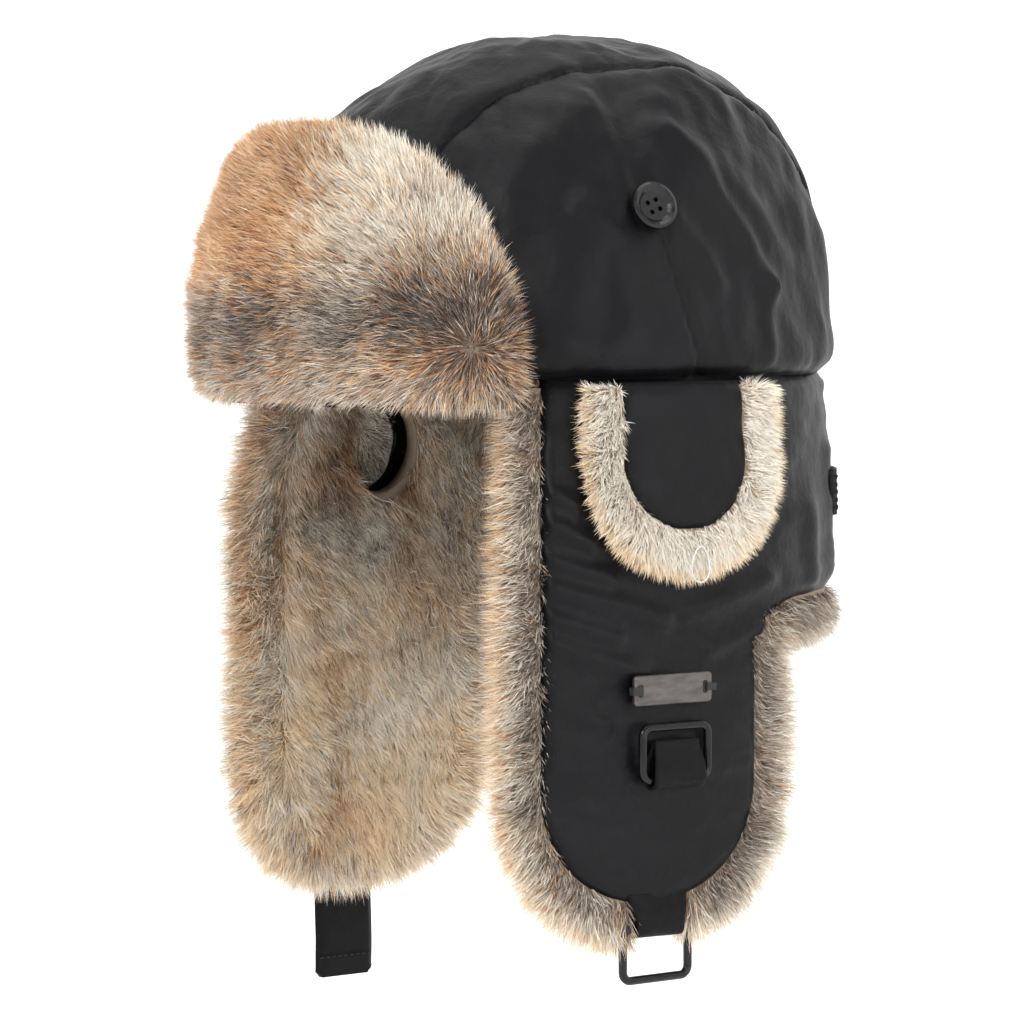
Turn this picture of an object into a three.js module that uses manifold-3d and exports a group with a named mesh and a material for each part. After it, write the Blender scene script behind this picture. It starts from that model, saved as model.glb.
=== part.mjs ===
// A trapper hat: a padded cloth crown, a fur-lined band with ear openings, two ear flaps that fold up,
// a fur visor that turns down, buttoned ear covers, and a chin strap with two rings.
// Millimetres. +Z is up, the face looks along -Y, and +X is the wearer's left.
// The origin is the centre of the head opening, at the level of the seam between crown and band.
import * as THREE from "three";
import { mergeVertices } from "three/addons/utils/BufferGeometryUtils.js";
import Module from "manifold-3d";

const wasm = await Module();
wasm.setup();

// ---- Driving dimensions ----
const HALF_WIDTH = 100; // ear to ear, outside the cloth
const HALF_DEPTH = 115; // front to back, outside the cloth
const CROWN_HEIGHT = 127;
const GAP = 0.3; // between pieces that are sewn together
const CLOTH = 1.2;
const PAD_IN = -6.5; // the padding's inner face, measured out from the outer cloth
const PAD_OUT = -CLOTH - 3 * GAP;
const FUR_IN = -18; // the tips of the fur lining
const FUR_BACK = PAD_IN - 3 * GAP; // the fur lining's backing cloth
const FUR_ROLL = 1.5; // how far the rolled fur edge stands proud of the cloth
const SIDE_SPREAD = 3; // the band is this much wider than the crown
const CROWN_SEAM_X = 52; // half the width of the panel over the top, which widens to the back
const CROWN_SEAM_TURN = 7; // degrees

const FOLD_Z = -88; // where the ear flaps fold
const NAPE_HEM_Z = -83;
const NAPE_FUR_Z = -100;
const FLAP_Y = -25; // the middle of an ear flap
const FLAP_ROUND_Z = -146; // where its straight sides end
const FLAP_HALF = 52; // half its cloth's width
const FLAP_END = 0.82; // how tall its round end is, for its half width
const FUR_EDGE = 17; // the rolled fur beyond the cloth

const COVER_Y = -12;
const COVER_HALF = 28;
const COVER_TOP_Z = -1.5;
const COVER_ROUND_Z = -27;
const COVER_EDGE = 18;
const COVER_BACK = 1;
const COVER_FRONT = 9;
const EAR_HOLE = { z: -30, halfY: 16, halfZ: 18 };

const VISOR_HALF_ANGLE = 53 * (Math.PI / 180);
const VISOR_LOW_Z = -14;
const VISOR_TOP_Z = 97;
const VISOR_BACK = 3.5; // the visor's back cloth, measured out from the crown's base
const VISOR_THICK = 17;
const VISOR_LEAN = 17; // how far its top leans back over the crown

const WIRE = 1.6; // the rings' wire radius
const RING = { width: 33, height: 22, corner: 3.4 };
const WEBBING = 27;
const TAB = 22; // how wide the rings' tabs are
const PLATE = { width: 35.5, height: 11, thick: 1.6, y: -18, z: -111 };
const MID_RING_Y = -18.5;
const MID_RING_Z = -143; // its lower bar
const TIP_RING_Z = -197; // its upper bar
const TIP_Y = -22; // the tip ring's and the strap's middle
const SHELL_TIP_Z = FLAP_ROUND_Z - FLAP_HALF * FLAP_END;
const STRAP = { thick: 2.2, top: SHELL_TIP_Z - 0.5, end: -241 };
const BUTTON = { radius: 9, thick: 3.6, y: -20, z: 60, standoff: 3 };
const ADJUSTER = { from: 145, to: 215, top: -36.5, low: -53.7 };

const cloth = { color: 0x2e2d32, roughness: 0.62, metalness: 0 };
const padding = { color: 0xe4e2dc, roughness: 0.9, metalness: 0 };
const fur = { color: 0xb89c80, roughness: 0.85, metalness: 0 };
const lining = { color: 0x26262a, roughness: 0.5, metalness: 0 };
const webbing = { color: 0x1e1e21, roughness: 0.7, metalness: 0 };
const horn = { color: 0x151516, roughness: 0.25, metalness: 0 };
const thread = { color: 0x202022, roughness: 0.8, metalness: 0 };
const paleThread = { color: 0xd8d4cc, roughness: 0.6, metalness: 0 };
const blackMetal = { color: 0x1a1a1c, roughness: 0.2, metalness: 0.9 };
const pewter = { color: 0x8d8984, roughness: 0.42, metalness: 0.85 };

// ---- The hat's surfaces ----
const radians = (degrees) => (degrees * Math.PI) / 180;
const mix = (a, b, t) => a + (b - a) * t;
const smooth = (t) => {
  const c = Math.min(1, Math.max(0, t));
  return c * c * (3 - 2 * c);
};

// How far the outer cloth is from the middle at a bearing: 0 is the front, 90 degrees the wearer's left.
// Towards the face the sides run straighter, most of all below the seam.
function planRadius(bearing, z) {
  const low = smooth(-z / 60);
  const square = 2 + Math.max(0, Math.cos(bearing)) * mix(0.15, 1.5, low);
  const across = Math.abs(Math.sin(bearing)) / (HALF_WIDTH + SIDE_SPREAD * low);
  const along = Math.abs(Math.cos(bearing)) / HALF_DEPTH;
  return (across ** square + along ** square) ** (-1 / square);
}

// A point of the band or of a flap, out from the outer cloth.
function bandPoint(bearing, z, out) {
  const r = planRadius(bearing, z) + out;
  return new THREE.Vector3(r * Math.sin(bearing), -r * Math.cos(bearing), z);
}

// A point of the crown. rise is 0 at the seam and a quarter turn at the top.
function crownPoint(bearing, rise, out) {
  const power = 2 / (2.45 - 0.35 * Math.cos(bearing));
  const r = (planRadius(bearing, 0) + out) * Math.cos(rise) ** power;
  const z = (CROWN_HEIGHT + out) * Math.sin(rise) ** power;
  return new THREE.Vector3(r * Math.sin(bearing), -r * Math.cos(bearing), z);
}

const bearingOfY = (y) => Math.atan2(HALF_WIDTH + SIDE_SPREAD, -y);
const sideX = (y, z, out) => bandPoint(bearingOfY(y), z, out).x;

// ---- Making solids ----
// A box of unit size with its corners moved by place(u, v, w), each from 0 to 1.
function shaped(across, down, place, through = 1) {
  const box = new THREE.BoxGeometry(1, 1, 1, across, down, through);
  const position = box.getAttribute("position");
  for (let i = 0; i < position.count; i++) {
    const p = place(position.getX(i) + 0.5, 0.5 - position.getY(i), position.getZ(i) + 0.5);
    position.setXYZ(i, p.x, p.y, p.z);
  }
  return box;
}

function solidOf(geometry) {
  const bare = geometry.clone();
  bare.deleteAttribute("normal");
  bare.deleteAttribute("uv");
  const merged = mergeVertices(bare, 1e-3);
  const made = new wasm.Manifold(
    new wasm.Mesh({
      numProp: 3,
      vertProperties: new Float32Array(merged.getAttribute("position").array),
      triVerts: new Uint32Array(merged.index.array),
    }),
  );
  return made;
}

function geometryOf(solid) {
  const mesh = solid.getMesh();
  const made = new THREE.BufferGeometry();
  made.setAttribute("position", new THREE.BufferAttribute(mesh.vertProperties, 3));
  made.setIndex(new THREE.BufferAttribute(mesh.triVerts, 1));
  made.computeVertexNormals();
  return made;
}

// geometry less each of the tools.
function cut(geometry, ...tools) {
  let solid = solidOf(geometry);
  for (const tool of tools) solid = solid.subtract(solidOf(tool));
  return geometryOf(solid);
}

function block(low, high) {
  const box = new THREE.BoxGeometry(high[0] - low[0], high[1] - low[1], high[2] - low[2]);
  box.translate((low[0] + high[0]) / 2, (low[1] + high[1]) / 2, (low[2] + high[2]) / 2);
  return box;
}

// A wire bent round a rectangle with round corners, standing in the YZ plane about its own middle.
function ringGeometry({ width, height, corner }) {
  const y = width / 2 - WIRE;
  const z = height / 2 - WIRE;
  const path = new THREE.CurvePath();
  const at = (a, b) => new THREE.Vector3(0, a, b);
  const corners = [
    [1, 1],
    [-1, 1],
    [-1, -1],
    [1, -1],
  ];
  corners.forEach(([sy, sz], i) => {
    const [ny, nz] = corners[(i + 1) % 4];
    const sideways = ny !== sy;
    const start = sideways ? at(sy * (y - corner), sz * z) : at(sy * y, sz * (z - corner));
    const end = sideways ? at(ny * (y - corner), nz * z) : at(ny * y, nz * (z - corner));
    const turned = sideways ? at(ny * y, nz * (z - corner)) : at(ny * (y - corner), nz * z);
    path.add(new THREE.LineCurve3(start, end));
    path.add(new THREE.QuadraticBezierCurve3(end, at(ny * y, nz * z), turned));
  });
  return closedTube(path, WIRE, 8, 36);
}

// A closed tube: the two ends of an open extrusion would meet face to face, so the rings are joined here.
function closedTube(path, radius, sides, steps) {
  const torus = new THREE.TorusGeometry(1, 0.2, sides, steps);
  const position = torus.getAttribute("position");
  for (let i = 0; i < position.count; i++) {
    const p = new THREE.Vector3().fromBufferAttribute(position, i);
    const turn = (Math.atan2(p.y, p.x) / (2 * Math.PI) + 1) % 1;
    const out = (Math.hypot(p.x, p.y) - 1) / 0.2;
    const side = p.z / 0.2;
    const middle = path.getPointAt(turn);
    const along = path.getTangentAt(turn);
    const normal = new THREE.Vector3(0, along.z, -along.y);
    const placed = middle.addScaledVector(normal, out * radius);
    placed.x += side * radius;
    position.setXYZ(i, placed.x, placed.y, placed.z);
  }
  return torus;
}

// A webbing strip folded round a bar at the origin. Its tail rises to top and leans by shift.
function foldedTab(top, wide, shift = 0) {
  const inner = WIRE + 0.4;
  const outer = inner + CLOTH;
  const shape = new THREE.Shape();
  shape.moveTo(shift - CLOTH, top);
  shape.lineTo(-outer, 0);
  shape.absarc(0, 0, outer, Math.PI, 2 * Math.PI, false);
  shape.lineTo(shift + CLOTH, top);
  shape.closePath();
  const hole = new THREE.Path();
  hole.moveTo(-inner, 0);
  hole.absarc(0, 0, inner, Math.PI, 2 * Math.PI, false);
  hole.lineTo(shift * 0.7 + 0.3, top - 3);
  hole.lineTo(shift * 0.7 - 0.3, top - 3);
  hole.closePath();
  shape.holes.push(hole);
  const made = new THREE.ExtrudeGeometry(shape, { depth: wide, bevelEnabled: false, curveSegments: 8 });
  made.rotateX(Math.PI / 2); // the shape's height becomes Z, and its depth -Y
  made.translate(0, wide / 2, 0);
  return made;
}

// ---- The scene ----
const hat = new THREE.Group();

function add(name, geometry, look) {
  const mesh = new THREE.Mesh(geometry, new THREE.MeshStandardMaterial(look));
  mesh.name = name;
  hat.add(mesh);
  return mesh;
}

// The same shape on the other side of the hat.
function mirrored(geometry) {
  const other = geometry.clone();
  other.scale(-1, 1, 1);
  const flat = other.index ? other.toNonIndexed() : other;
  const position = flat.getAttribute("position");
  for (let i = 0; i < position.count; i += 3) {
    const a = new THREE.Vector3().fromBufferAttribute(position, i + 1);
    const b = new THREE.Vector3().fromBufferAttribute(position, i + 2);
    position.setXYZ(i + 1, b.x, b.y, b.z);
    position.setXYZ(i + 2, a.x, a.y, a.z);
  }
  flat.computeVertexNormals();
  return flat;
}

const bothSides = (name, geometry, look) => {
  add(name + "_left", geometry, look);
  add(name + "_right", mirrored(geometry), look);
};

// ---- Crown ----
// A layer of the crown, lathed as a ring of a half disc and laid on the crown's surface.
function crownLayer(inner, outer, around, rings, lowest = 0) {
  const profile = [];
  for (let i = 0; i <= rings; i++) {
    const rise = mix(lowest, Math.PI / 2, i / rings);
    profile.push(new THREE.Vector2(Math.cos(rise), Math.sin(rise)));
  }
  for (let i = rings; i >= 0; i--) {
    const rise = mix(lowest, Math.PI / 2, i / rings);
    profile.push(new THREE.Vector2(0.5 * Math.cos(rise), 0.5 * Math.sin(rise)));
  }
  profile.push(profile[0].clone());
  profile.forEach((p) => {
    if (p.x < 1e-9) p.x = 0;
  });
  const layer = new THREE.LatheGeometry(profile, around);
  const position = layer.getAttribute("position");
  for (let i = 0; i < position.count; i++) {
    const [x, y, z] = [position.getX(i), position.getY(i), position.getZ(i)];
    const across = Math.hypot(x, z);
    const out = Math.hypot(across, y) > 0.75 ? outer : inner;
    const p = crownPoint(Math.atan2(x, z), Math.min(Math.atan2(y, across), Math.PI / 2), out);
    position.setXYZ(i, p.x, p.y, p.z + GAP);
  }
  return layer;
}

function crown() {
  const shell = crownLayer(-CLOTH, 0, 32, 8);
  const far = 2 * HALF_DEPTH;
  const turned = (box) => box.rotateZ(radians(-CROWN_SEAM_TURN));
  const left = cut(shell, turned(block([-far, -far, -far], [CROWN_SEAM_X + GAP, far, far])));
  bothSides("crown_side_panel", left, cloth);
  const beyond = turned(block([CROWN_SEAM_X, -far, -far], [far, far, far]));
  add("crown_top_panel", cut(shell, beyond, mirrored(beyond)), cloth);
  add("crown_padding", crownLayer(PAD_IN, PAD_OUT, 32, 8), padding);
  add("crown_lining", crownLayer(PAD_IN - GAP - CLOTH, PAD_IN - GAP, 32, 8), lining);
}

// A grosgrain band inside the crown's rim, open at the back where its ends meet.
function sweatband() {
  const inner = PAD_IN - 2 * GAP - CLOTH;
  const band = shaped(28, 1, (u, v, w) => {
    const bearing = mix(radians(-179), radians(179), u);
    const p = bandPoint(bearing, 0, mix(inner - 4.2, inner - 3.4, w));
    return new THREE.Vector3(p.x, p.y, mix(26, 2, v));
  });
  add("sweatband", band, lining);
}

// ---- Band: what hangs below the seam all round but at the face ----
const bandFront = bearingOfY(FLAP_Y - FLAP_HALF);
const furFront = bearingOfY(FLAP_Y - FLAP_HALF - FUR_EDGE);
const bandBack = radians(180) - 0.002;

const napeShare = (bearing) => smooth((bearing - radians(117)) / radians(16));
const hem = (bearing) => mix(FOLD_Z + GAP, NAPE_HEM_Z, napeShare(bearing));
const furHem = (bearing) => mix(FOLD_Z + GAP, NAPE_FUR_Z, napeShare(bearing));

// A patch of the band from one bearing round to the back seam.
function bandPatch({ from, low, inner, outer, across, down, top = -GAP, to = bandBack }) {
  return shaped(across, down, (u, v, w) => {
    const bearing = mix(from, to, u);
    return bandPoint(bearing, mix(top, low(bearing), v), mix(inner, outer, w));
  });
}

function earHole(grow) {
  const hole = new THREE.CylinderGeometry(1, 1, 60, 16);
  hole.rotateZ(Math.PI / 2);
  hole.scale(1, EAR_HOLE.halfY + grow, EAR_HOLE.halfZ + grow);
  hole.translate(HALF_WIDTH, COVER_Y, EAR_HOLE.z);
  return hole;
}

function band() {
  const layer = (inner, outer, trim) =>
    bandPatch({
      from: bandFront + trim / HALF_DEPTH,
      low: (bearing) => hem(bearing) + (bearing > radians(118) ? trim : 0),
      inner,
      outer,
      across: 14,
      down: 4,
    });
  bothSides("band_shell", cut(layer(-CLOTH, 0, 0), earHole(0)), cloth);
  bothSides("band_padding", cut(layer(PAD_IN, PAD_OUT, 1), earHole(1)), padding);
  const roll = bandPatch({
    from: furFront,
    low: furHem,
    inner: FUR_IN,
    outer: FUR_ROLL,
    across: 14,
    down: 4,
  });
  const pocket = bandPatch({
    from: bandFront - 0.004,
    to: bandBack + 0.05,
    low: (bearing) => hem(bearing) - (bearing > radians(118) ? GAP : 2),
    inner: FUR_BACK,
    outer: 10,
    across: 14,
    down: 4,
    top: 4,
  });
  bothSides("band_fur", cut(roll, pocket, earHole(0)), fur);
}

function backAdjuster() {
  const strap = (from, to, inner, outer, grow) =>
    shaped(12, 1, (u, v, w) => {
      const bearing = radians(mix(from, to, u));
      const z = mix(ADJUSTER.top + grow, ADJUSTER.low - grow, v);
      return bandPoint(bearing, z, mix(inner, outer, w));
    });
  add("adjuster_strap", strap(ADJUSTER.from, ADJUSTER.to, 1.6, 3.2, 0), webbing);
  add("adjuster_tape", strap(188, 208, 0.4, 1.3, -2), webbing);
}

// ---- Ear flaps ----
// The flap's outline, grown by edge: rows run down its straight sides, then round its end.
function flapPatch({ inner, outer, edge, top, across = 6, down = 10, endAngle = 80 }) {
  const half = FLAP_HALF + edge;
  const straight = 0.4;
  return shaped(across, down, (u, v, w) => {
    const turn = radians(endAngle) * Math.max(0, (v - straight) / (1 - straight));
    const round = FLAP_ROUND_Z - half * FLAP_END * Math.sin(turn);
    const z = v < straight ? mix(top, FLAP_ROUND_Z, v / straight) : round;
    const y = FLAP_Y + mix(-half, half, u) * Math.cos(turn);
    return bandPoint(bearingOfY(y), z, mix(inner, outer, w));
  });
}

// Room at the flap's end for the webbing that is sewn there.
function tipNotch() {
  const x = sideX(TIP_Y, SHELL_TIP_Z, 0);
  const half = RING.width / 2 + 1;
  return block([x - 30, TIP_Y - half, -220], [x + 20, TIP_Y + half, SHELL_TIP_Z + 1]);
}

function earFlaps() {
  const top = FOLD_Z - GAP;
  bothSides("flap_shell", flapPatch({ inner: -CLOTH, outer: 0, edge: 0, top }), cloth);
  bothSides("flap_padding", flapPatch({ inner: PAD_IN, outer: PAD_OUT, edge: -1, top }), padding);
  const roll = flapPatch({ inner: FUR_IN, outer: FUR_ROLL, edge: FUR_EDGE, top, down: 11 });
  const pocket = flapPatch({ inner: FUR_BACK, outer: 10, edge: 3 * GAP, top: top + 4, down: 11 });
  bothSides("flap_fur", cut(roll, pocket, tipNotch()), fur);
}

// ---- Ear covers ----
function coverPatch({ inner, outer, edge, top = COVER_TOP_Z, across = 6, down = 8 }) {
  const half = COVER_HALF + edge;
  const straight = 0.35;
  return shaped(across, down, (u, v, w) => {
    const turn = radians(82) * Math.max(0, (v - straight) / (1 - straight));
    const z = v < straight ? mix(top, COVER_ROUND_Z, v / straight) : COVER_ROUND_Z - half * Math.sin(turn);
    const y = COVER_Y + mix(-half, half, u) * Math.cos(turn);
    return bandPoint(bearingOfY(y), z, mix(inner, outer, w));
  });
}

function earCovers() {
  const floor = COVER_BACK + 4;
  const roll = coverPatch({ inner: COVER_BACK, outer: COVER_FRONT, edge: COVER_EDGE });
  const pocket = coverPatch({ inner: floor, outer: 20, edge: GAP, top: 6 });
  bothSides("ear_cover_fur", cut(roll, pocket), fur);
  bothSides("ear_cover_shell", coverPatch({ inner: floor + GAP, outer: floor + GAP + CLOTH, edge: 0 }), cloth);
  // A thread loop at the cover's foot, which goes over the button when the cover is turned up.
  const bottom = COVER_ROUND_Z - COVER_HALF - COVER_EDGE;
  const loop = new THREE.TorusGeometry(5.5, 0.7, 6, 20);
  loop.rotateY(Math.PI / 2);
  loop.scale(1, 0.8, 1.1);
  loop.translate(sideX(COVER_Y, bottom, COVER_FRONT) + 1.2, COVER_Y, bottom + 7);
  bothSides("ear_cover_loop", loop, paleThread);
}

// ---- Visor ----
// It stands up in front of the crown. A point of it, out from its back cloth.
function visorPoint(bearing, z, out) {
  const r = planRadius(bearing, z) + VISOR_BACK - VISOR_LEAN * smooth((z - 20) / 85) + out;
  return new THREE.Vector3(r * Math.sin(bearing), -r * Math.cos(bearing), z);
}

// Its outline is low at both ends and rounds up to the middle; edge grows it all round, and rim is the
// share of its thickness that is left at the outline.
function visorPatch({ inner, outer, edge, rim = 1, across = 16, down = 5 }) {
  const end = radians(86);
  return shaped(across, down, (u, v, w) => {
    const turn = mix(-end, end, u);
    const aside = Math.sign(turn) * Math.abs(Math.sin(turn)) ** 0.71;
    const bearing = (VISOR_HALF_ANGLE + edge / HALF_DEPTH) * aside;
    const top = mix(VISOR_LOW_Z, VISOR_TOP_Z + edge, Math.cos(turn) ** 0.71);
    const share = Math.min(u, v, 1 - u, 1 - v) < 0.01 ? rim : 1;
    return visorPoint(bearing, mix(top, VISOR_LOW_Z - edge, v), mix(inner, outer, w * share));
  });
}

function visor() {
  add("visor_shell", visorPatch({ inner: 0, outer: CLOTH, edge: -4 }), cloth);
  add("visor_padding", visorPatch({ inner: CLOTH + 3 * GAP, outer: 5, edge: -4 }), padding);
  const roll = visorPatch({ inner: 0, outer: VISOR_THICK, edge: 0, rim: 0.45 });
  const pocket = visorPatch({ inner: -10, outer: 5 + GAP, edge: -4 + GAP });
  add("visor_fur", cut(roll, pocket), fur);
}

// ---- Button ----
function button() {
  const { radius, thick } = BUTTON;
  const profile = [
    [0, 0],
    [radius * 0.8, 0],
    [radius, thick * 0.45],
    [radius * 0.97, thick * 0.85],
    [radius * 0.86, thick],
    [radius * 0.72, thick * 0.8],
    [radius * 0.6, thick * 0.55],
    [0, thick * 0.5],
  ].map(([x, y]) => new THREE.Vector2(x, y));
  const blank = new THREE.LatheGeometry(profile, 24);
  const holes = [45, 135, 225, 315].map((angle) => {
    const hole = new THREE.CylinderGeometry(0.95, 0.95, 20, 8);
    hole.translate(2.6 * Math.cos(radians(angle)), 0, 2.6 * Math.sin(radians(angle)));
    return hole;
  });
  const shank = new THREE.CylinderGeometry(1.9, 1.9, BUTTON.standoff - 2 * GAP, 10);

  // Its seat on the crown: find the rise at its height, then the surface's own slope.
  const bearing = Math.atan2(HALF_WIDTH - 6, -BUTTON.y);
  let rise = 0;
  while (crownPoint(bearing, rise, 0).z < BUTTON.z) rise += 0.002;
  const seat = crownPoint(bearing, rise, 0).add(new THREE.Vector3(0, 0, GAP));
  const up = crownPoint(bearing, rise + 0.05, 0).sub(crownPoint(bearing, rise - 0.05, 0));
  const round = crownPoint(bearing + 0.05, rise, 0).sub(crownPoint(bearing - 0.05, rise, 0));
  const normal = round.cross(up).normalize();
  if (normal.x < 0) normal.negate();
  const turn = new THREE.Quaternion().setFromUnitVectors(new THREE.Vector3(0, 1, 0), normal);
  const place = (geometry, out) => {
    geometry.applyQuaternion(turn);
    const at = seat.clone().addScaledVector(normal, out);
    geometry.translate(at.x, at.y, at.z);
    return geometry;
  };
  bothSides("button", place(cut(blank, ...holes), BUTTON.standoff), horn);
  bothSides("button_shank", place(shank, BUTTON.standoff / 2), thread);
}

// ---- Name plate, rings, tabs and strap on the flaps ----
function namePlate() {
  const x = sideX(PLATE.y, PLATE.z, 0) + 1.0;
  const { width, height, thick } = PLATE;
  const slotAt = (side) => {
    const y = PLATE.y + side * (width / 2 - 2.6);
    return block([x - 5, y - 0.8, PLATE.z - 2.4], [x + 5, y + 0.8, PLATE.z + 2.4]);
  };
  const y0 = PLATE.y - width / 2;
  const z0 = PLATE.z - height / 2;
  const blank = block([x, y0, z0], [x + thick, y0 + width, z0 + height]);
  add("name_plate", cut(blank, slotAt(-1), slotAt(1)), pewter);
  // Thread staples hold the plate at both ends.
  for (const [side, name] of [
    [-1, "plate_stitch_front"],
    [1, "plate_stitch_rear"],
  ]) {
    const inside = PLATE.y + side * (width / 2 - 2.6);
    const outside = PLATE.y + side * (width / 2 + GAP + 0.6);
    const top = solidOf(
      block(
        [x + thick + GAP, Math.min(inside, outside) - 0.4, PLATE.z - 1.4],
        [x + thick + 1, Math.max(inside, outside) + 0.4, PLATE.z + 1.4],
      ),
    );
    const leg = (y) => solidOf(block([x, y - 0.4, PLATE.z - 1.4], [x + thick + 0.8, y + 0.4, PLATE.z + 1.4]));
    add(name, geometryOf(top.add(leg(inside)).add(leg(outside))), thread);
  }
}

function rings() {
  const barToMiddle = RING.height / 2 - WIRE;
  // The middle ring stands up against the flap, its lower bar held by a folded tab.
  const x = sideX(MID_RING_Y, MID_RING_Z, 0) + WIRE + 0.4 + CLOTH + 3 * GAP;
  const middle = ringGeometry(RING);
  middle.translate(x, MID_RING_Y, MID_RING_Z + barToMiddle);
  add("middle_ring", middle, blackMetal);
  const middleTab = foldedTab(13.5, TAB, -2);
  middleTab.translate(x, MID_RING_Y, MID_RING_Z);
  add("middle_tab", middleTab, webbing);
  // The tip ring hangs from a tab sewn into the flap's edge.
  const tipX = sideX(TIP_Y, TIP_RING_Z, -2.6);
  const tip = ringGeometry(RING);
  tip.translate(tipX, TIP_Y, TIP_RING_Z - barToMiddle);
  add("tip_ring", tip, blackMetal);
  const tipTab = foldedTab(SHELL_TIP_Z - 0.5 - TIP_RING_Z, TAB);
  tipTab.translate(tipX, TIP_Y, TIP_RING_Z);
  add("tip_tab", tipTab, webbing);
}

function chinStrap() {
  const x = -sideX(TIP_Y, SHELL_TIP_Z, -2.6);
  const half = WEBBING / 2;
  const t = STRAP.thick / 2;
  add("chin_strap", block([x - t, TIP_Y - half, STRAP.end], [x + t, TIP_Y + half, STRAP.top]), webbing);
  const tape = (high, low) =>
    block([x - t - GAP - 1, TIP_Y - half + 3, low], [x - t - GAP, TIP_Y + half - 3, high]);
  add("hook_tape", tape(STRAP.end + 18, STRAP.end + 3), webbing);
  add("loop_tape", tape(STRAP.end + 42, STRAP.end + 22), webbing);
}

crown();
sweatband();
band();
backAdjuster();
earFlaps();
earCovers();
visor();
button();
namePlate();
rings();
chinStrap();

export default hat;
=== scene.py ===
"""A trapper hat: padded cloth crown and band, fur visor, fur-lined ear flaps, ear covers, rings and strap."""

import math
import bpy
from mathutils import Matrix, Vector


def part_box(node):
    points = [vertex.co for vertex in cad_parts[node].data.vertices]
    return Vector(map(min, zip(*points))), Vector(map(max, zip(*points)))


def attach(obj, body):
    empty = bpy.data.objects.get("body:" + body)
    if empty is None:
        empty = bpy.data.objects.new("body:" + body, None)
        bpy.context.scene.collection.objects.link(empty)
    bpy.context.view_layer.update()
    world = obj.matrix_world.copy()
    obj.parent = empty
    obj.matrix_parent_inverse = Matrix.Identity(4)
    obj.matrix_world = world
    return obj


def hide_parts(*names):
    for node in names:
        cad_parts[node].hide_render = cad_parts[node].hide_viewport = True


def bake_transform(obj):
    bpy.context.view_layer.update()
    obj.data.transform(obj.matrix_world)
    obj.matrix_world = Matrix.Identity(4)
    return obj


bl_info = {
    "name": "Trapper Hat",
    "version": (1, 0, 0),
    "blender": (4, 5, 0),
    "location": "3D View > Sidebar > Trapper Hat",
    "description": "Sews the cloth and grows the fur of a trapper hat round its frame",
    "category": "Object",
}

import bmesh
import bpy
import numpy as np
from bpy.props import FloatProperty, FloatVectorProperty, IntProperty, PointerProperty
from mathutils import Vector, noise

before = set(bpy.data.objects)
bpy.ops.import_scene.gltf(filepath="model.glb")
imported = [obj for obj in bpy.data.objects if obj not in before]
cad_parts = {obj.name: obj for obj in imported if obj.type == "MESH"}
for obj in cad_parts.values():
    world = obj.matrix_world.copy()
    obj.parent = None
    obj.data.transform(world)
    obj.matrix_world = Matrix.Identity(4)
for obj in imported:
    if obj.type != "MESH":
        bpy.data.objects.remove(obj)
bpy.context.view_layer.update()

MM = 0.001
SIDES = {"left": 1, "right": -1}

# ---- Sizes that follow the frame ----
HALF_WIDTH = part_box("crown_side_panel_left")[1].x
HALF_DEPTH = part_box("crown_top_panel")[1].y
CROWN_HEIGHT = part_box("crown_top_panel")[1].z
SIDE_SPREAD = 3 * MM
PANEL_SEAM = 52 * MM
PANEL_TURN = math.radians(7)
HEM_Z = -83 * MM
FOLD_Z = -88 * MM
NAPE_FUR_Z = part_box("band_fur_left")[0].z
FLAP_Y = -25 * MM
FLAP_HALF = 52 * MM
FLAP_END = 0.82 * FLAP_HALF
FLAP_ROUND_Z = -146 * MM
SHELL_TIP_Z = FLAP_ROUND_Z - FLAP_END
FUR_EDGE = 17 * MM
COVER_Y = -12 * MM
EAR_OPENING = (16 * MM, 18 * MM)  # half its width and half its height
EAR_OPENING_Z = -30 * MM
COVER_HALF = 28 * MM
COVER_ROUND_Z = -27 * MM
COVER_EDGE = 18 * MM
VISOR_BACK = 4.2 * MM
VISOR_LEAN = 17 * MM
VISOR_HALF_ANGLE = math.radians(53)
VISOR_LOW_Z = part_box("visor_fur")[0].z
VISOR_TOP_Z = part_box("visor_fur")[1].z
BUTTON_Z = 60 * MM
TIP_Y = -22 * MM


def linear(r, g, b):
    """A colour given in screen values from 0 to 255, as linear light."""
    return [((c / 255 + 0.055) / 1.055) ** 2.4 if c > 10 else c / 255 / 12.92 for c in (r, g, b)]


# ---- What a user would change ----
def colour(label, about, value):
    return FloatVectorProperty(
        name=label, description=about, subtype="COLOR", size=3, min=0, max=1, default=linear(*value)
    )


class HatSizes(bpy.types.PropertyGroup):
    pile: FloatProperty(
        name="Pile", description="Length of the fur", default=10 * MM, unit="LENGTH"
    )
    hair_width: FloatProperty(
        name="Hair width", description="Width of a lock of hair at its root", default=0.34 * MM, unit="LENGTH"
    )
    hairs: FloatProperty(
        name="Hairs", description="Locks of hair on a square centimetre", default=330, min=1
    )
    fold_height: FloatProperty(
        name="Fold height", description="How far the cloth's soft folds stand", default=1.5, min=0, max=3
    )
    cloth: FloatProperty(
        name="Cloth", description="Thickness of the outer cloth", default=1.2 * MM, unit="LENGTH"
    )
    seed: IntProperty(name="Seed", description="Which way the hairs fall", default=4, min=0)


class HatColours(bpy.types.PropertyGroup):
    cloth: colour("Cloth", "Outer cloth", (8, 8, 11))
    webbing: colour("Webbing", "Straps and tabs", (9, 9, 11))
    button: colour("Button", "Buttons", (6, 6, 8))
    plate: colour("Plate", "Name plate", (101, 96, 93))
    ring: colour("Ring", "Rings", (6, 6, 7))
    loop: colour("Loop", "Thread loops", (205, 202, 198))
    lining: colour("Lining", "Crown lining", (40, 40, 44))
    underfur: colour("Underfur", "Cloth and down under the hairs", (140, 124, 108))


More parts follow.
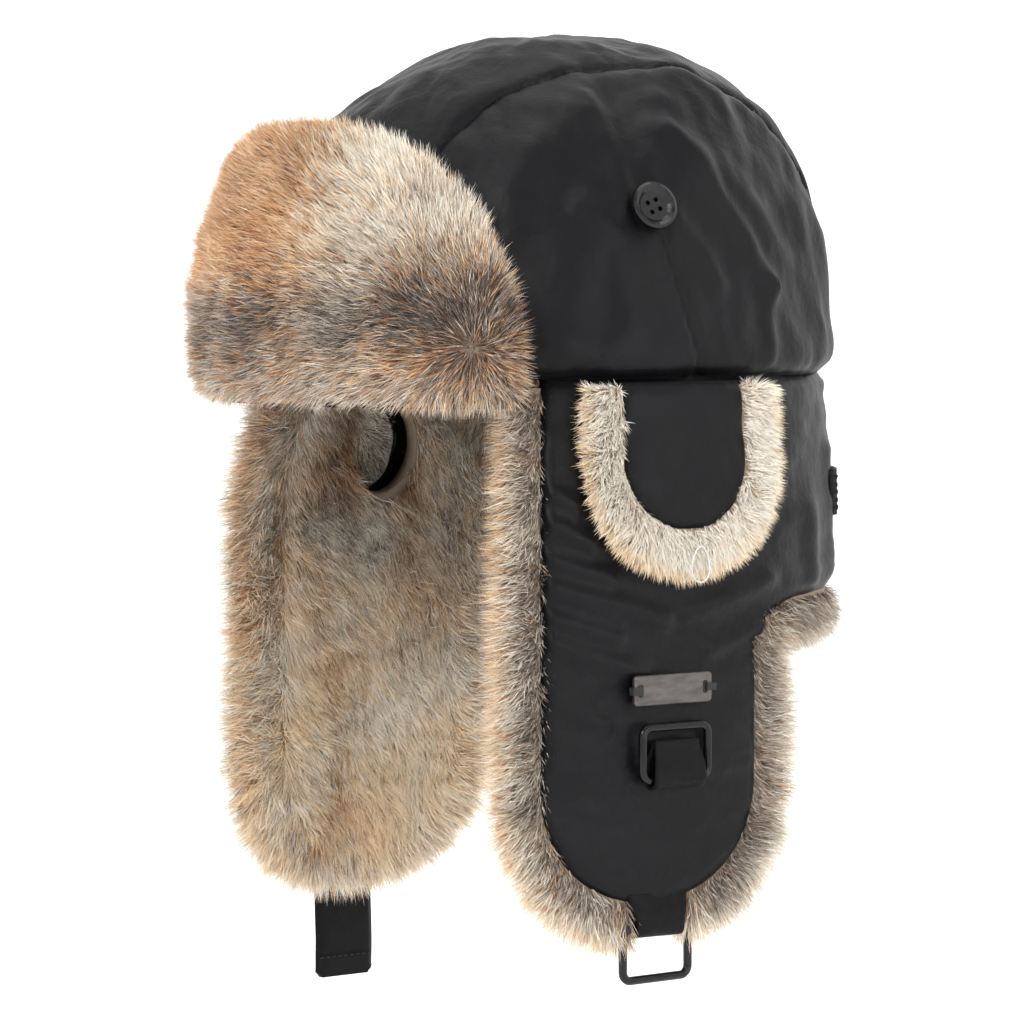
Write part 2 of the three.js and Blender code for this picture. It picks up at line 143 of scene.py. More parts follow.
# From the darkest to the palest, first the cool hairs and then the warm ones.
COOL_HAIRS = [(84, 74, 68), (150, 138, 127), (206, 195, 180), (242, 236, 224)]
WARM_HAIRS = [(124, 84, 58), (188, 138, 96), (222, 184, 142), (244, 222, 190)]


def sizes():
    return bpy.context.scene.hat_sizes


def colours():
    return bpy.context.scene.hat_colours


# ---- Surfaces ----
def smooth(t):
    t = np.clip(t, 0, 1)
    return t * t * (3 - 2 * t)


def mix(a, b, t):
    return a + (b - a) * t


def bump(distance, width):
    """1 on a line, falling to nothing about twice its width away."""
    return np.exp(-((distance / width) ** 2))


def plan_radius(bearing, z):
    """From the middle out to the cloth. Bearing 0 is the front, and a quarter turn the wearer's left."""
    low = smooth(-z / (60 * MM))
    square = 2 + np.maximum(0, np.cos(bearing)) * mix(0.15, 1.5, low)
    across = np.abs(np.sin(bearing)) / (HALF_WIDTH + SIDE_SPREAD * low)
    along = np.abs(np.cos(bearing)) / HALF_DEPTH
    return (across**square + along**square) ** (-1 / square)


def band_point(bearing, z, out):
    r = plan_radius(bearing, z) + out
    return np.stack([r * np.sin(bearing), -r * np.cos(bearing), z + 0 * r], -1)


def crown_point(bearing, rise, out):
    power = 2 / (2.45 - 0.35 * np.cos(bearing))
    r = (plan_radius(bearing, 0 * bearing) + out) * np.cos(rise) ** power
    z = (CROWN_HEIGHT + out) * np.sin(rise) ** power
    return np.stack([r * np.sin(bearing), -r * np.cos(bearing), z], -1)


def bearing_of(y):
    return np.arctan2(HALF_WIDTH + SIDE_SPREAD, -y)


def side_y(points):
    """The Y by which a side's outlines are drawn, at points of that side: it follows the bearing alone."""
    return (HALF_WIDTH + SIDE_SPREAD) * points[..., 1] / np.maximum(np.abs(points[..., 0]), 1 * MM)


def line_distance(y, z, y0, z0, y1, z1):
    """From points of a side to the stretch of line between two places, all as Y and Z."""
    dy, dz = y1 - y0, z1 - z0
    t = np.clip(((y - y0) * dy + (z - z0) * dz) / (dy * dy + dz * dz), 0, 1)
    return np.hypot(y - y0 - t * dy, z - z0 - t * dz)


def mottle(points, size, seed, depth=2):
    """Soft noise from 0 to 1 over the points; size is that of its patches."""
    flat = np.asarray(points).reshape(-1, 3) / size
    shift = Vector((seed * 17.3, seed * 5.1, seed * 9.7))
    made = [
        sum(noise.noise(Vector(p) * 2**k + shift) / 2**k for k in range(depth)) for p in flat
    ]
    return (np.array(made).reshape(np.shape(points)[:-1]) * 0.75 + 0.5).clip(0, 1)


# ---- Meshes ----
def make_object(name, vertices, faces, merge=1e-5, weld=True):
    mesh = bpy.data.meshes.new(name)
    mesh.from_pydata(np.asarray(vertices).reshape(-1, 3).tolist(), [], faces)
    if weld:
        bm = bmesh.new()
        bm.from_mesh(mesh)
        bmesh.ops.remove_doubles(bm, verts=bm.verts, dist=merge)
        bmesh.ops.dissolve_degenerate(bm, dist=merge, edges=bm.edges)
        if all(edge.is_manifold for edge in bm.edges) and bm.calc_volume(signed=True) < 0:
            bmesh.ops.reverse_faces(bm, faces=bm.faces)
        bm.to_mesh(mesh)
        bm.free()
    made = bpy.data.objects.new(name, mesh)
    bpy.context.scene.collection.objects.link(made)
    for polygon in mesh.polygons:
        polygon.use_smooth = True
    return made


def grid_faces(rows, columns, start=0, turned=False):
    made = []
    for i in range(rows - 1):
        for j in range(columns - 1):
            a = start + i * columns + j
            quad = [a, a + columns, a + columns + 1, a + 1]
            made.append(quad[::-1] if turned else quad)
    return made


def sheet_object(name, grid, thick, keep=None):
    """A grid of points as cloth of that thickness, which lies on the inner side."""
    rows, columns = grid.shape[:2]
    faces = grid_faces(rows, columns)
    if keep is not None:
        faces = [f for f in faces if keep[f[0] // columns, f[0] % columns]]
    made = make_object(name, grid, faces)
    outward(made)
    solid = made.modifiers.new("Cloth", "SOLIDIFY")
    solid.thickness = thick
    solid.offset = -1
    return settle(made)


def outward(made):
    """Turns an open cloth's faces to look away from the hat's middle."""
    middle = Vector((0, 0, -0.02))
    facing = sum((p.center - middle).dot(p.normal) * p.area for p in made.data.polygons)
    if facing < 0:
        made.data.flip_normals()


def settle(made):
    """The object with its modifiers worked into a plain mesh."""
    bpy.context.view_layer.update()
    evaluated = made.evaluated_get(bpy.context.evaluated_depsgraph_get())
    final = bpy.data.meshes.new_from_object(evaluated)
    final.name = made.name
    made.modifiers.clear()
    made.data = final
    return made


def cut_ear_opening(made, side, more=0.0):
    """Cuts the hole for the ear through a closed cloth or pelt."""
    turn = np.linspace(0, 2 * math.pi, 48, endpoint=False)
    half_y, half_z = EAR_OPENING[0] + more, EAR_OPENING[1] + more
    y, z = COVER_Y + half_y * np.cos(turn), EAR_OPENING_Z + half_z * np.sin(turn)
    rings = [np.stack([side * x + 0 * y, y, z], -1) for x in (HALF_WIDTH - 45 * MM, HALF_WIDTH + 25 * MM)]
    count = len(turn)
    faces = [[i, (i + 1) % count, count + (i + 1) % count, count + i] for i in range(count)]
    faces += [list(range(count))[::-1], list(range(count, 2 * count))]
    cutter = make_object("ear_cutter", np.concatenate(rings), faces)
    cut = made.modifiers.new("Ear opening", "BOOLEAN")
    cut.operation, cut.solver, cut.object = "DIFFERENCE", "EXACT", cutter
    before = len(made.data.vertices)
    settle(made)
    bpy.data.objects.remove(cutter)
    if len(made.data.vertices) in (0, before):
        raise RuntimeError(f"{made.name}: the ear opening wasn't cut")
    return made


def pad_object(name, outer, inner):
    """A closed pad between two grids of points, joined round their edges."""
    rows, columns = outer.shape[:2]
    count = rows * columns
    faces = grid_faces(rows, columns) + grid_faces(rows, columns, count, turned=True)
    rim = [(0, j) for j in range(columns)] + [(i, columns - 1) for i in range(1, rows)]
    rim += [(rows - 1, j) for j in range(columns - 2, -1, -1)] + [(i, 0) for i in range(rows - 2, -1, -1)]
    index = [i * columns + j for i, j in rim]
    faces += [[a, b, b + count, a + count] for a, b in zip(index, index[1:])]
    return make_object(name, np.concatenate([outer.reshape(-1, 3), inner.reshape(-1, 3)]), faces)


def vertices_of(made):
    flat = np.zeros(len(made.data.vertices) * 3)
    made.data.vertices.foreach_get("co", flat)
    return flat.reshape(-1, 3)


def normals_of(made):
    flat = np.zeros(len(made.data.vertices) * 3)
    made.data.vertices.foreach_get("normal", flat)
    return flat.reshape(-1, 3)


def keep_values(made, name, values):
    vector = np.ndim(values) == 2
    kept = made.data.attributes.new(name, "FLOAT_VECTOR" if vector else "FLOAT", "POINT")
    kept.data.foreach_set("vector" if vector else "value", np.asarray(values, np.float32).ravel())


# ---- Materials ----
class Shader:
    """A material's nodes, made and joined by short calls."""

    def __init__(self, name, base, rough, **settings):
        self.material = bpy.data.materials.new(name)
        self.material.use_nodes = True
        self.tree = self.material.node_tree
        self.skin = self.tree.nodes["Principled BSDF"]
        self.set(Base_Color=(*base, 1), Roughness=rough, **settings)

    def set(self, **settings):
        for key, value in settings.items():
            self.skin.inputs[key.replace("_", " ")].default_value = value

    def node(self, kind, links=None, **settings):
        made = self.tree.nodes.new("ShaderNode" + kind)
        for key, value in settings.items():
            if key in (
                "operation", "blend_type", "data_type", "attribute_name", "wave_type", "bands_direction", "feature",
            ):
                setattr(made, key, value)
            else:
                made.inputs[key.replace("_", " ")].default_value = value
        for key, source in (links or {}).items():
            self.tree.links.new(source, made.inputs[key])
        return made

    def place(self):
        return self.node("TexCoord").outputs["Object"]

    def spots(self, scale, detail=3, rough=0.5, stretch=None):
        place = self.place()
        if stretch:
            place = self.node("Mapping", {"Vector": place}, Scale=stretch).outputs[0]
        return self.node(
            "TexNoise", {"Vector": place}, Scale=scale, Detail=detail, Roughness=rough
        ).outputs["Fac"]

    def ramp(self, source, stops):
        made = self.node("ValToRGB", {"Fac": source})
        made.color_ramp.elements.remove(made.color_ramp.elements[1])
        for i, (at, tint) in enumerate(stops):
            stop = made.color_ramp.elements[0] if i == 0 else made.color_ramp.elements.new(at)
            stop.position = at
            stop.color = (*tint, 1)
        return made.outputs["Color"]

    def spread(self, source, low, high):
        return self.node("MapRange", {"Value": source}, To_Min=low, To_Max=high).outputs["Result"]

    def join(self, source, socket):
        self.tree.links.new(source, self.skin.inputs[socket])

    def bumps(self, *layers):
        """Bump layers, each a height and how far it stands in metres."""
        normal = None
        for height, distance in layers:
            links = {"Height": height}
            if normal:
                links["Normal"] = normal
            normal = self.node("Bump", links, Distance=distance, Strength=1).outputs["Normal"]
        self.join(normal, "Normal")


def tinted(base, share):
    return [min(1, c * share) for c in base]


def cloth_material():
    base = list(colours().cloth)
    made = Shader("hat_cloth", base, 0.46, Sheen_Weight=0.02, Sheen_Roughness=0.4, Specular_IOR_Level=0.16)
    wear = made.spots(26, 4, 0.6)
    made.join(made.ramp(wear, [(0.3, tinted(base, 0.82)), (0.7, tinted(base, 1.2))]), "Base Color")
    made.join(made.spread(made.spots(60, 3), 0.38, 0.5), "Roughness")
    weave = made.spots(2600, 1)
    crease = made.spots(75, 4, 0.55)
    made.bumps((crease, 0.0011), (weave, 0.00008))
    return made.material


def lining_material():
    base = list(colours().lining)
    made = Shader("hat_lining", base, 0.42, Sheen_Weight=0.2)
    soft = made.spots(40, 3)
    made.join(made.ramp(soft, [(0.3, tinted(base, 0.8)), (0.7, tinted(base, 1.25))]), "Base Color")
    made.bumps((soft, 0.0012))
    return made.material


def webbing_material():
    base = list(colours().webbing)
    made = Shader("hat_webbing", base, 0.6, Sheen_Weight=0.01, Specular_IOR_Level=0.14)
    ribs = made.node("TexWave", {"Vector": made.place()}, Scale=700, Distortion=0.6)
    ribs.bands_direction = "Z"
    made.join(
        made.ramp(made.spots(300, 3), [(0.3, tinted(base, 0.75)), (0.7, tinted(base, 1.35))]), "Base Color"
    )
    made.bumps((ribs.outputs["Fac"], 0.00005), (made.spots(120, 3), 0.0005), (made.spots(1500, 2), 0.00006))
    return made.material


def horn_material():
    base = list(colours().button)
    made = Shader("hat_button", base, 0.16, Specular_IOR_Level=0.4)
    haze = made.spots(220, 3)
    made.join(made.ramp(haze, [(0.35, tinted(base, 0.8)), (0.75, tinted(base, 1.7))]), "Base Color")
    made.join(made.spread(haze, 0.14, 0.3), "Roughness")
    return made.material


def ring_material():
    base = list(colours().ring)
    made = Shader("hat_ring", base, 0.1, Specular_IOR_Level=0.32)
    haze = made.spots(160, 3)
    made.join(made.ramp(haze, [(0.35, tinted(base, 0.8)), (0.75, tinted(base, 1.5))]), "Base Color")
    made.join(made.spread(haze, 0.06, 0.14), "Roughness")
    return made.material


def plate_material():
    base = list(colours().plate)
    made = Shader("hat_plate", base, 0.38, Metallic=0.75)
    grain = made.spots(420, 5, 0.6, stretch=(1, 0.25, 1))
    made.join(made.ramp(grain, [(0.3, tinted(base, 0.55)), (0.7, tinted(base, 1.1))]), "Base Color")
    made.join(made.spread(made.spots(300, 3), 0.3, 0.5), "Roughness")
    made.bumps((grain, 0.00012))
    return made.material


def thread_material(name, base, rough):
    made = Shader(name, base, rough)
    twist = made.spots(1500, 2)
    made.join(made.ramp(twist, [(0.3, tinted(base, 0.7)), (0.7, tinted(base, 1.3))]), "Base Color")
    made.bumps((twist, 0.0001))
    return made.material


def hair_materials():
    """One plain tone a material: the pelt's pattern is in which hair has which."""
    made = []
    for kind, tones in (("cool", COOL_HAIRS), ("warm", WARM_HAIRS)):
        for i, tone in enumerate(tones):
            hair = Shader(f"hat_hair_{kind}_{i}", linear(*tone), 0.55, Specular_IOR_Level=0.3)
            made.append(hair.material)
    return made


def underfur_material():
    base = list(colours().underfur)
    made = Shader("hat_underfur", base, 0.95, Specular_IOR_Level=0.1)
    return made.material


MATERIALS = {}


def paint(made, name):
    made.data.materials.clear()
    made.data.materials.append(MATERIALS[name])
    return made


# ---- Crown ----
# Soft folds on a side of the crown, each from one place (Y, Z) to another, its width and its height, in millimetres.
CROWN_FOLDS = [
    (-3, 88, 36, 32, 5, 2.2),
    (36, 32, 32, 6, 5, 1.8),
    (12, 78, 50, 45, 7, 1.5),
    (-27, 100, -27, 62, 5, 2.0),
    (-37, 96, -44, 60, 6, 1.6),
    (-54, 84, -70, 42, 9, 2.2),
    (-70, 42, -55, 14, 8, 1.8),
    (-8, 56, 8, 34, 4, 1.4),
    (-34, 52, -30, 20, 7, 1.3),
    (66, 60, 70, 20, 8, 1.4),
    (84, 50, 88, 8, 6, 1.3),
]


def crown_relief(points):
    """How far the cloth stands out of the crown's smooth shape."""
    x, y, z = np.moveaxis(points, -1, 0)
    seam = np.abs(x) * math.cos(PANEL_TURN) - y * math.sin(PANEL_TURN) - PANEL_SEAM
    out = -1.5 * MM * bump(seam, 1.2 * MM) + 0.6 * MM * bump(np.abs(seam) - 6 * MM, 4 * MM)
    pucker = np.sin(y / (2.1 * MM) + 2 * np.sin(y / (9 * MM)))
    out += 0.28 * MM * pucker * bump(seam, 5 * MM)
    dart = y + 1 * MM + 16 * MM * (z / BUTTON_Z)
    on_side = smooth((np.abs(x) - 0.05) / 0.02) * smooth((BUTTON_Z - z) / (6 * MM))
    out += on_side * (-1.6 * MM * bump(dart, 1.3 * MM) + 0.5 * MM * bump(np.abs(dart) - 4 * MM, 3 * MM))
    side = smooth((np.abs(x) - 0.03) / 0.03)
    for y0, z0, y1, z1, width, height in CROWN_FOLDS:
        distance = line_distance(y, z, y0 * MM, z0 * MM, y1 * MM, z1 * MM)
        out += side * sizes().fold_height * height * MM * bump(distance, width * MM)
    stretched = points * np.array([1, 1, 0.45])
    out += 2.6 * MM * (mottle(stretched, 34 * MM, 3) - 0.5) * sizes().fold_height
    out += 1.0 * MM * (mottle(stretched, 13 * MM, 5) - 0.5) * sizes().fold_height
    out += 2.2 * MM * bump(z - 9 * MM, 9 * MM)
    out -= 3.4 * MM * bump(z, 2.6 * MM)
    return out


def crown_grid(rows, columns, relief=None, out=0.0):
    t = np.linspace(0, 1, rows)[:, None] ** 1.25
    bearing = np.linspace(-math.pi, math.pi, columns)[None, :] + 0 * t
    rise = t * math.pi / 2 + 0 * bearing
    flat = crown_point(bearing, rise, out)
    if relief is None:
        return flat
    return crown_point(bearing, rise, out + relief(flat))


def make_crown():
    grid = crown_grid(110, 300, crown_relief, -1 * MM)
    middle = (grid[:-1, :-1] + grid[1:, 1:]) / 2
    side = np.abs(middle[..., 0]) * math.cos(PANEL_TURN) - middle[..., 1] * math.sin(PANEL_TURN) > PANEL_SEAM
    panels = {
        "crown_top_cloth": ("crown_top_panel", ~side),
        "crown_side_cloth_left": ("crown_side_panel_left", side & (middle[..., 0] > 0)),
        "crown_side_cloth_right": ("crown_side_panel_right", side & (middle[..., 0] < 0)),
    }
    for name, (node, keep) in panels.items():
        panel = paint(sheet_object(name, grid, sizes().cloth, keep), "cloth")
        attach(panel, "hat")
        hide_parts(node, "crown_padding")


def quilt_relief(points):
    """The lining's quilting: soft squares between sewn lines."""
    x, y, z = np.moveaxis(points, -1, 0)
    bearing = np.arctan2(x, -y)
    up = np.abs(np.sin(z / (13 * MM) + 4 * bearing))
    down = np.abs(np.sin(z / (13 * MM) - 4 * bearing))
    return 1.6 * MM * (1 - np.minimum(1, 3 * np.minimum(up, down)))


def make_crown_lining():
    grid = crown_grid(60, 140, quilt_relief, -9.5 * MM)
    made = paint(sheet_object("crown_inner_lining", grid, 0.8 * MM), "lining")
    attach(made, "hat")
    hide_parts("crown_lining")


# ---- Band and ear flaps ----
# Soft folds low on the band and on the flap, as on the crown.
SIDE_FOLDS = [
    (-74, -34, -56, -44, 3, 1.6),
    (-76, -46, -50, -58, 3, 2.0),
    (-76, -60, -44, -70, 3, 1.8),
    (-70, -72, -20, -86, 4, 2.0),
    (-76, -80, -40, -92, 3, 1.8),
    (-74, -90, -30, -104, 4, 1.5),
    (30, -74, -10, -84, 4, 1.6),
    (28, -90, 0, -98, 4, 1.4),
    (-72, -110, -46, -122, 4, 1.0),
    (60, -50, 62, -76, 6, 1.5),
    (84, -30, 84, -76, 6, 1.5),
]
FLAP_COLUMNS = 84
NAPE_COLUMNS = 66


def flap_edge(y, z, half=FLAP_HALF, end=FLAP_END, middle=FLAP_Y, round_z=FLAP_ROUND_Z):
    """How far outside the flap's outline a point is, and below 0 within it."""
    across = np.abs(y - middle) / half
    down = np.maximum(0, round_z - z) / end
    return (np.hypot(across, down) - 1) * half


def hem_line(bearing):
    """The cloth's lower edge: level at the nape, dropping into the flap's rear edge."""
    behind = np.maximum(0, bearing - bearing_of(FLAP_Y + FLAP_HALF)) * HALF_WIDTH
    return HEM_Z - 11 * MM * np.exp(-((behind / (12 * MM)) ** 1.3))


def side_relief(y, z, side):
    out = 0 * y
    for y0, z0, y1, z1, width, height in SIDE_FOLDS:
        distance = line_distance(y, z, y0 * MM, z0 * MM, y1 * MM, z1 * MM)
        out += sizes().fold_height * height * MM * bump(distance, width * MM)
    place = np.stack([0 * y + side, y * 0.5, z * 1.3], -1)
    out += 2.0 * MM * (mottle(place, 26 * MM, 8 + side) - 0.5)
    out += 1.0 * MM * (mottle(place, 10 * MM, 11 + side) - 0.5)
    return out


TUCK = 2.5 * MM  # the band's cloth goes this far up behind the crown's edge


def side_cloth_grid():
    """Columns from the flap's front edge back to the nape's seam; rows down to the hem, then to the flap's end."""
    swing = np.linspace(-math.pi / 2, math.pi / 2, FLAP_COLUMNS)
    flap_y = FLAP_Y + FLAP_HALF * np.sin(swing)
    nape = np.linspace(bearing_of(flap_y[-1]), math.pi, NAPE_COLUMNS)[1:]
    bearing = np.concatenate([bearing_of(flap_y), nape])
    hem = hem_line(bearing)
    down = np.linspace(0, 1, 60)[:, None]
    z_band = mix(TUCK, hem[None, :], down)
    b_band = bearing[None, :] + 0 * z_band
    end = FLAP_ROUND_Z - FLAP_END * np.cos(swing)
    down = np.linspace(0, 1, 80)[1:, None]
    z_flap = mix(hem[None, :FLAP_COLUMNS], end[None, :], down)
    b_flap = bearing[None, :FLAP_COLUMNS] + 0 * z_flap
    return (b_band, z_band), (b_flap, z_flap)


def side_cloth_points(bearing, z, side):
    flat = band_point(bearing, z, 0)
    y = flat[..., 1]
    inside = -flap_edge(side_y(flat), z)
    inside = np.where(bearing > bearing_of(FLAP_Y), np.where(z < hem_line(bearing) - 1e-9, inside, 1), inside)
    to_hem = np.where(bearing > bearing_of(FLAP_Y + FLAP_HALF), z - hem_line(bearing), 1)
    to_edge = np.minimum(inside, to_hem)
    out = side_relief(y, z, side) * smooth(to_edge / (8 * MM))
    out -= 3.5 * MM * np.exp(-np.maximum(0, to_edge) / (2.2 * MM))
    out -= 3.0 * MM * bump(z, 3 * MM) + 4 * MM * smooth(z / TUCK)
    out -= 1.0 * MM * bump(bearing - math.pi, 0.02)
    return band_point(bearing, z, out)


def make_side_cloths():
    for name, side in SIDES.items():
        (b_band, z_band), (b_flap, z_flap) = side_cloth_grid()
        band = side_cloth_points(b_band, z_band, side)
        flap = side_cloth_points(b_flap, z_flap, side)
        flap = np.concatenate([band[-1:, :FLAP_COLUMNS], flap])
        flip = np.array([side, 1, 1])
        vertices = np.concatenate([(band * flip).reshape(-1, 3), (flap * flip).reshape(-1, 3)])
        faces = grid_faces(*band.shape[:2]) + grid_faces(*flap.shape[:2], start=band.shape[0] * band.shape[1])
        made = make_object(f"side_cloth_{name}", vertices, faces)
        outward(made)
        solid = made.modifiers.new("Cloth", "SOLIDIFY")
        solid.thickness = sizes().cloth
        solid.offset = -1
        paint(cut_ear_opening(settle(made), side), "cloth")
        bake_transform(made)
        nodes = ["band_shell", "band_padding", "flap_shell", "flap_padding"]
        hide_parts(*[f"{node}_{name}" for node in nodes])


# ---- Fur ----
def lock_of_hair():
    """A flat curved lock, one unit long, that tapers to its tip."""
    half = sizes().hair_width / 2
    vertices = [(-half, 0, 0), (half, 0, 0), (-half * 0.85, 0.05, 0.45), (half * 0.85, 0.05, 0.45), (0, 0.22, 1)]
    mesh = bpy.data.meshes.new("lock")
    mesh.from_pydata(vertices, [], [(0, 1, 3, 2), (2, 3, 4)])
    along = mesh.attributes.new("along", "FLOAT", "FACE")
    along.data.foreach_set("value", [0.0, 1.0])
    made = bpy.data.objects.new("lock", mesh)
    bpy.context.scene.collection.objects.link(made)
    return made


class Nodes:
    """A geometry tree's nodes, made and joined by short calls."""

    def __init__(self, name, inputs):
        self.tree = bpy.data.node_groups.new(name, "GeometryNodeTree")
        face = self.tree.interface
        face.new_socket("Geometry", in_out="INPUT", socket_type="NodeSocketGeometry")
        self.sockets = {}
        for label, kind, value in inputs:
            made = face.new_socket(label, in_out="INPUT", socket_type="NodeSocket" + kind)
            if value is not None:
                made.default_value = value
            self.sockets[label] = made.identifier
        face.new_socket("Geometry", in_out="OUTPUT", socket_type="NodeSocketGeometry")
        self.input = self.tree.nodes.new("NodeGroupInput")
        self.output = self.tree.nodes.new("NodeGroupOutput")

    def __getitem__(self, label):
        return self.input.outputs[label]

    def add(self, kind, links=None, settings=None, values=None):
        made = self.tree.nodes.new(kind)
        for key, value in (settings or {}).items():
            setattr(made, key, value)
        for key, value in (values or {}).items():
            made.inputs[key].default_value = value
        for key, source in (links or {}).items():
            self.tree.links.new(source, made.inputs[key])
        return made

    def math(self, operation, a, b=None):
        made = self.add("ShaderNodeMath", settings={"operation": operation})
        for i, value in enumerate((a, b)):
            if value is None:
                continue
            if isinstance(value, (int, float)):
                made.inputs[i].default_value = value
            else:
                self.tree.links.new(value, made.inputs[i])
        return made.outputs[0]

    def vector(self, operation, a, b=None, scale=None):
        made = self.add("ShaderNodeVectorMath", settings={"operation": operation})
        for key, value in ((0, a), (1, b), ("Scale", scale)):
            if value is None:
                continue
            if isinstance(value, (int, float, tuple)):
                made.inputs[key].default_value = value
            else:
                self.tree.links.new(value, made.inputs[key])
        return made.outputs[0]

    def named(self, label, kind="FLOAT"):
        made = self.add("GeometryNodeInputNamedAttribute", settings={"data_type": kind}, values={"Name": label})
        return made.outputs["Attribute"]

    def random(self, low, high, seed, kind="FLOAT"):
        made = self.add("FunctionNodeRandomValue", settings={"data_type": kind})
        spots = {"FLOAT": (2, 3), "FLOAT_VECTOR": (0, 1)}[kind]
        made.inputs[spots[0]].default_value = low
        made.inputs[spots[1]].default_value = high
        self.tree.links.new(self.math("ADD", self["Seed"], seed), made.inputs["Seed"])
        return made.outputs[{"FLOAT": 1, "FLOAT_VECTOR": 0}[kind]]

    def finish(self, geometry):
        self.tree.links.new(geometry, self.output.inputs["Geometry"])
        return self


def fur_tree(hairs, underfur):
    """Locks of hair over a pelt. The pelt's own values say where they grow, how long, which way and in which tone."""
    t = Nodes(
        "Fur",
        [
            ("Lock", "Object", None),
            ("Hairs", "Float", 1.0),
            ("Length", "Float", 0.015),
            ("Lift", "Float", 0.6),
            ("Scatter", "Float", 0.3),
            ("Seed", "Int", 0),
        ],
    )
    dense = t.math("MULTIPLY", t["Hairs"], t.named("grow"))
    spread = t.add(
        "GeometryNodeDistributePointsOnFaces",
        {"Mesh": t["Geometry"], "Density": dense, "Seed": t["Seed"]},
    )
    # Which way each lock points: out of the pelt, along its comb, in clumps, and a little at random.
    place = t.add("GeometryNodeInputPosition").outputs[0]
    clump = t.add("ShaderNodeTexNoise", {"Vector": place}, values={"Scale": 190.0, "Detail": 1.0})
    tuft = t.vector("SCALE", t.vector("SUBTRACT", clump.outputs["Color"], (0.5, 0.5, 0.5)), scale=2.2)
    broad = t.add("ShaderNodeTexNoise", {"Vector": place}, values={"Scale": 42.0, "Detail": 1.0})
    drift = t.vector("SCALE", t.vector("SUBTRACT", broad.outputs["Color"], (0.5, 0.5, 0.5)), scale=1.6)
    stray = t.vector("SCALE", t.random((-1, -1, -1), (1, 1, 1), 1, "FLOAT_VECTOR"), scale=t["Scatter"])
    way = t.vector("SCALE", spread.outputs["Normal"], scale=t["Lift"])
    for part in (t.named("comb", "FLOAT_VECTOR"), tuft, drift, stray):
        way = t.vector("ADD", way, part)
    # No lock dives into the pelt.
    rise = t.add("ShaderNodeVectorMath", {0: way, 1: spread.outputs["Normal"]}, {"operation": "DOT_PRODUCT"})
    short = t.math("MAXIMUM", t.math("SUBTRACT", 0.25, rise.outputs["Value"]), 0.0)
    way = t.vector("ADD", way, t.vector("SCALE", spread.outputs["Normal"], scale=short))
    stand = t.add("FunctionNodeAlignRotationToVector", {"Vector": way}, {"axis": "Z"})
    turn = t.add("FunctionNodeAxisAngleToRotation", {"Angle": t.random(0.0, 6.283, 2)}, values={"Axis": (0, 0, 1)})
    rolled = t.add(
        "FunctionNodeRotateRotation",
        {"Rotation": stand.outputs[0], "Rotate By": turn.outputs[0]},
        {"rotation_space": "LOCAL"},
    )
    length = t.math("MULTIPLY", t.math("MULTIPLY", t["Length"], t.named("pile")), t.random(0.55, 1.1, 3))
    size = t.add("ShaderNodeCombineXYZ", {"X": t.random(0.7, 1.25, 4), "Y": length, "Z": length})
    points = spread.outputs["Points"]
    for label, seed in (("tone_draw", 5), ("warm_draw", 6)):
        stored = t.add(
            "GeometryNodeStoreNamedAttribute",
            {"Geometry": points, "Value": t.random(0.0, 1.0, seed)},
            {"data_type": "FLOAT", "domain": "POINT"},
            {"Name": label},
        )
        points = stored.outputs[0]
    lock = t.add("GeometryNodeObjectInfo", {"Object": t["Lock"]})
    grown = t.add(
        "GeometryNodeInstanceOnPoints",
        {
            "Points": points,
            "Instance": lock.outputs["Geometry"],
            "Rotation": rolled.outputs[0],
            "Scale": size.outputs[0],
        },
    )
    mesh = t.add("GeometryNodeRealizeInstances", {"Geometry": grown.outputs[0]}).outputs[0]
    # Each face's tone: the pelt's shade, this lock's own luck, and darker at the root.
    shade = t.math("ADD", t.math("MULTIPLY", t.named("shade"), 4.0), t.math("MULTIPLY", t.named("tone_draw"), 1.9))
    shade = t.math("ADD", shade, t.math("MULTIPLY", t.named("along"), 0.7))
    step = t.math("FLOOR", t.math("MINIMUM", t.math("MAXIMUM", t.math("SUBTRACT", shade, 1.15), 0.0), 3.99))
    warm = t.math("LESS_THAN", t.named("warm_draw"), t.named("warmth"))
    tone = t.math("ADD", step, t.math("MULTIPLY", warm, 4.0))
    for i, hair in enumerate(hairs):
        chosen = t.math("COMPARE", tone, float(i))
        chosen.node.inputs[2].default_value = 0.4
        painted = t.add("GeometryNodeSetMaterial", {"Geometry": mesh, "Selection": chosen}, values={"Material": hair})
        mesh = painted.outputs[0]
    pelt = t.add("GeometryNodeSetMaterial", {"Geometry": t["Geometry"]}, values={"Material": underfur})
    joined = t.add("GeometryNodeJoinGeometry")
    t.tree.links.new(mesh, joined.inputs[0])
    t.tree.links.new(pelt.outputs[0], joined.inputs[0])
    return t.finish(joined.outputs[0])


FUR = {}


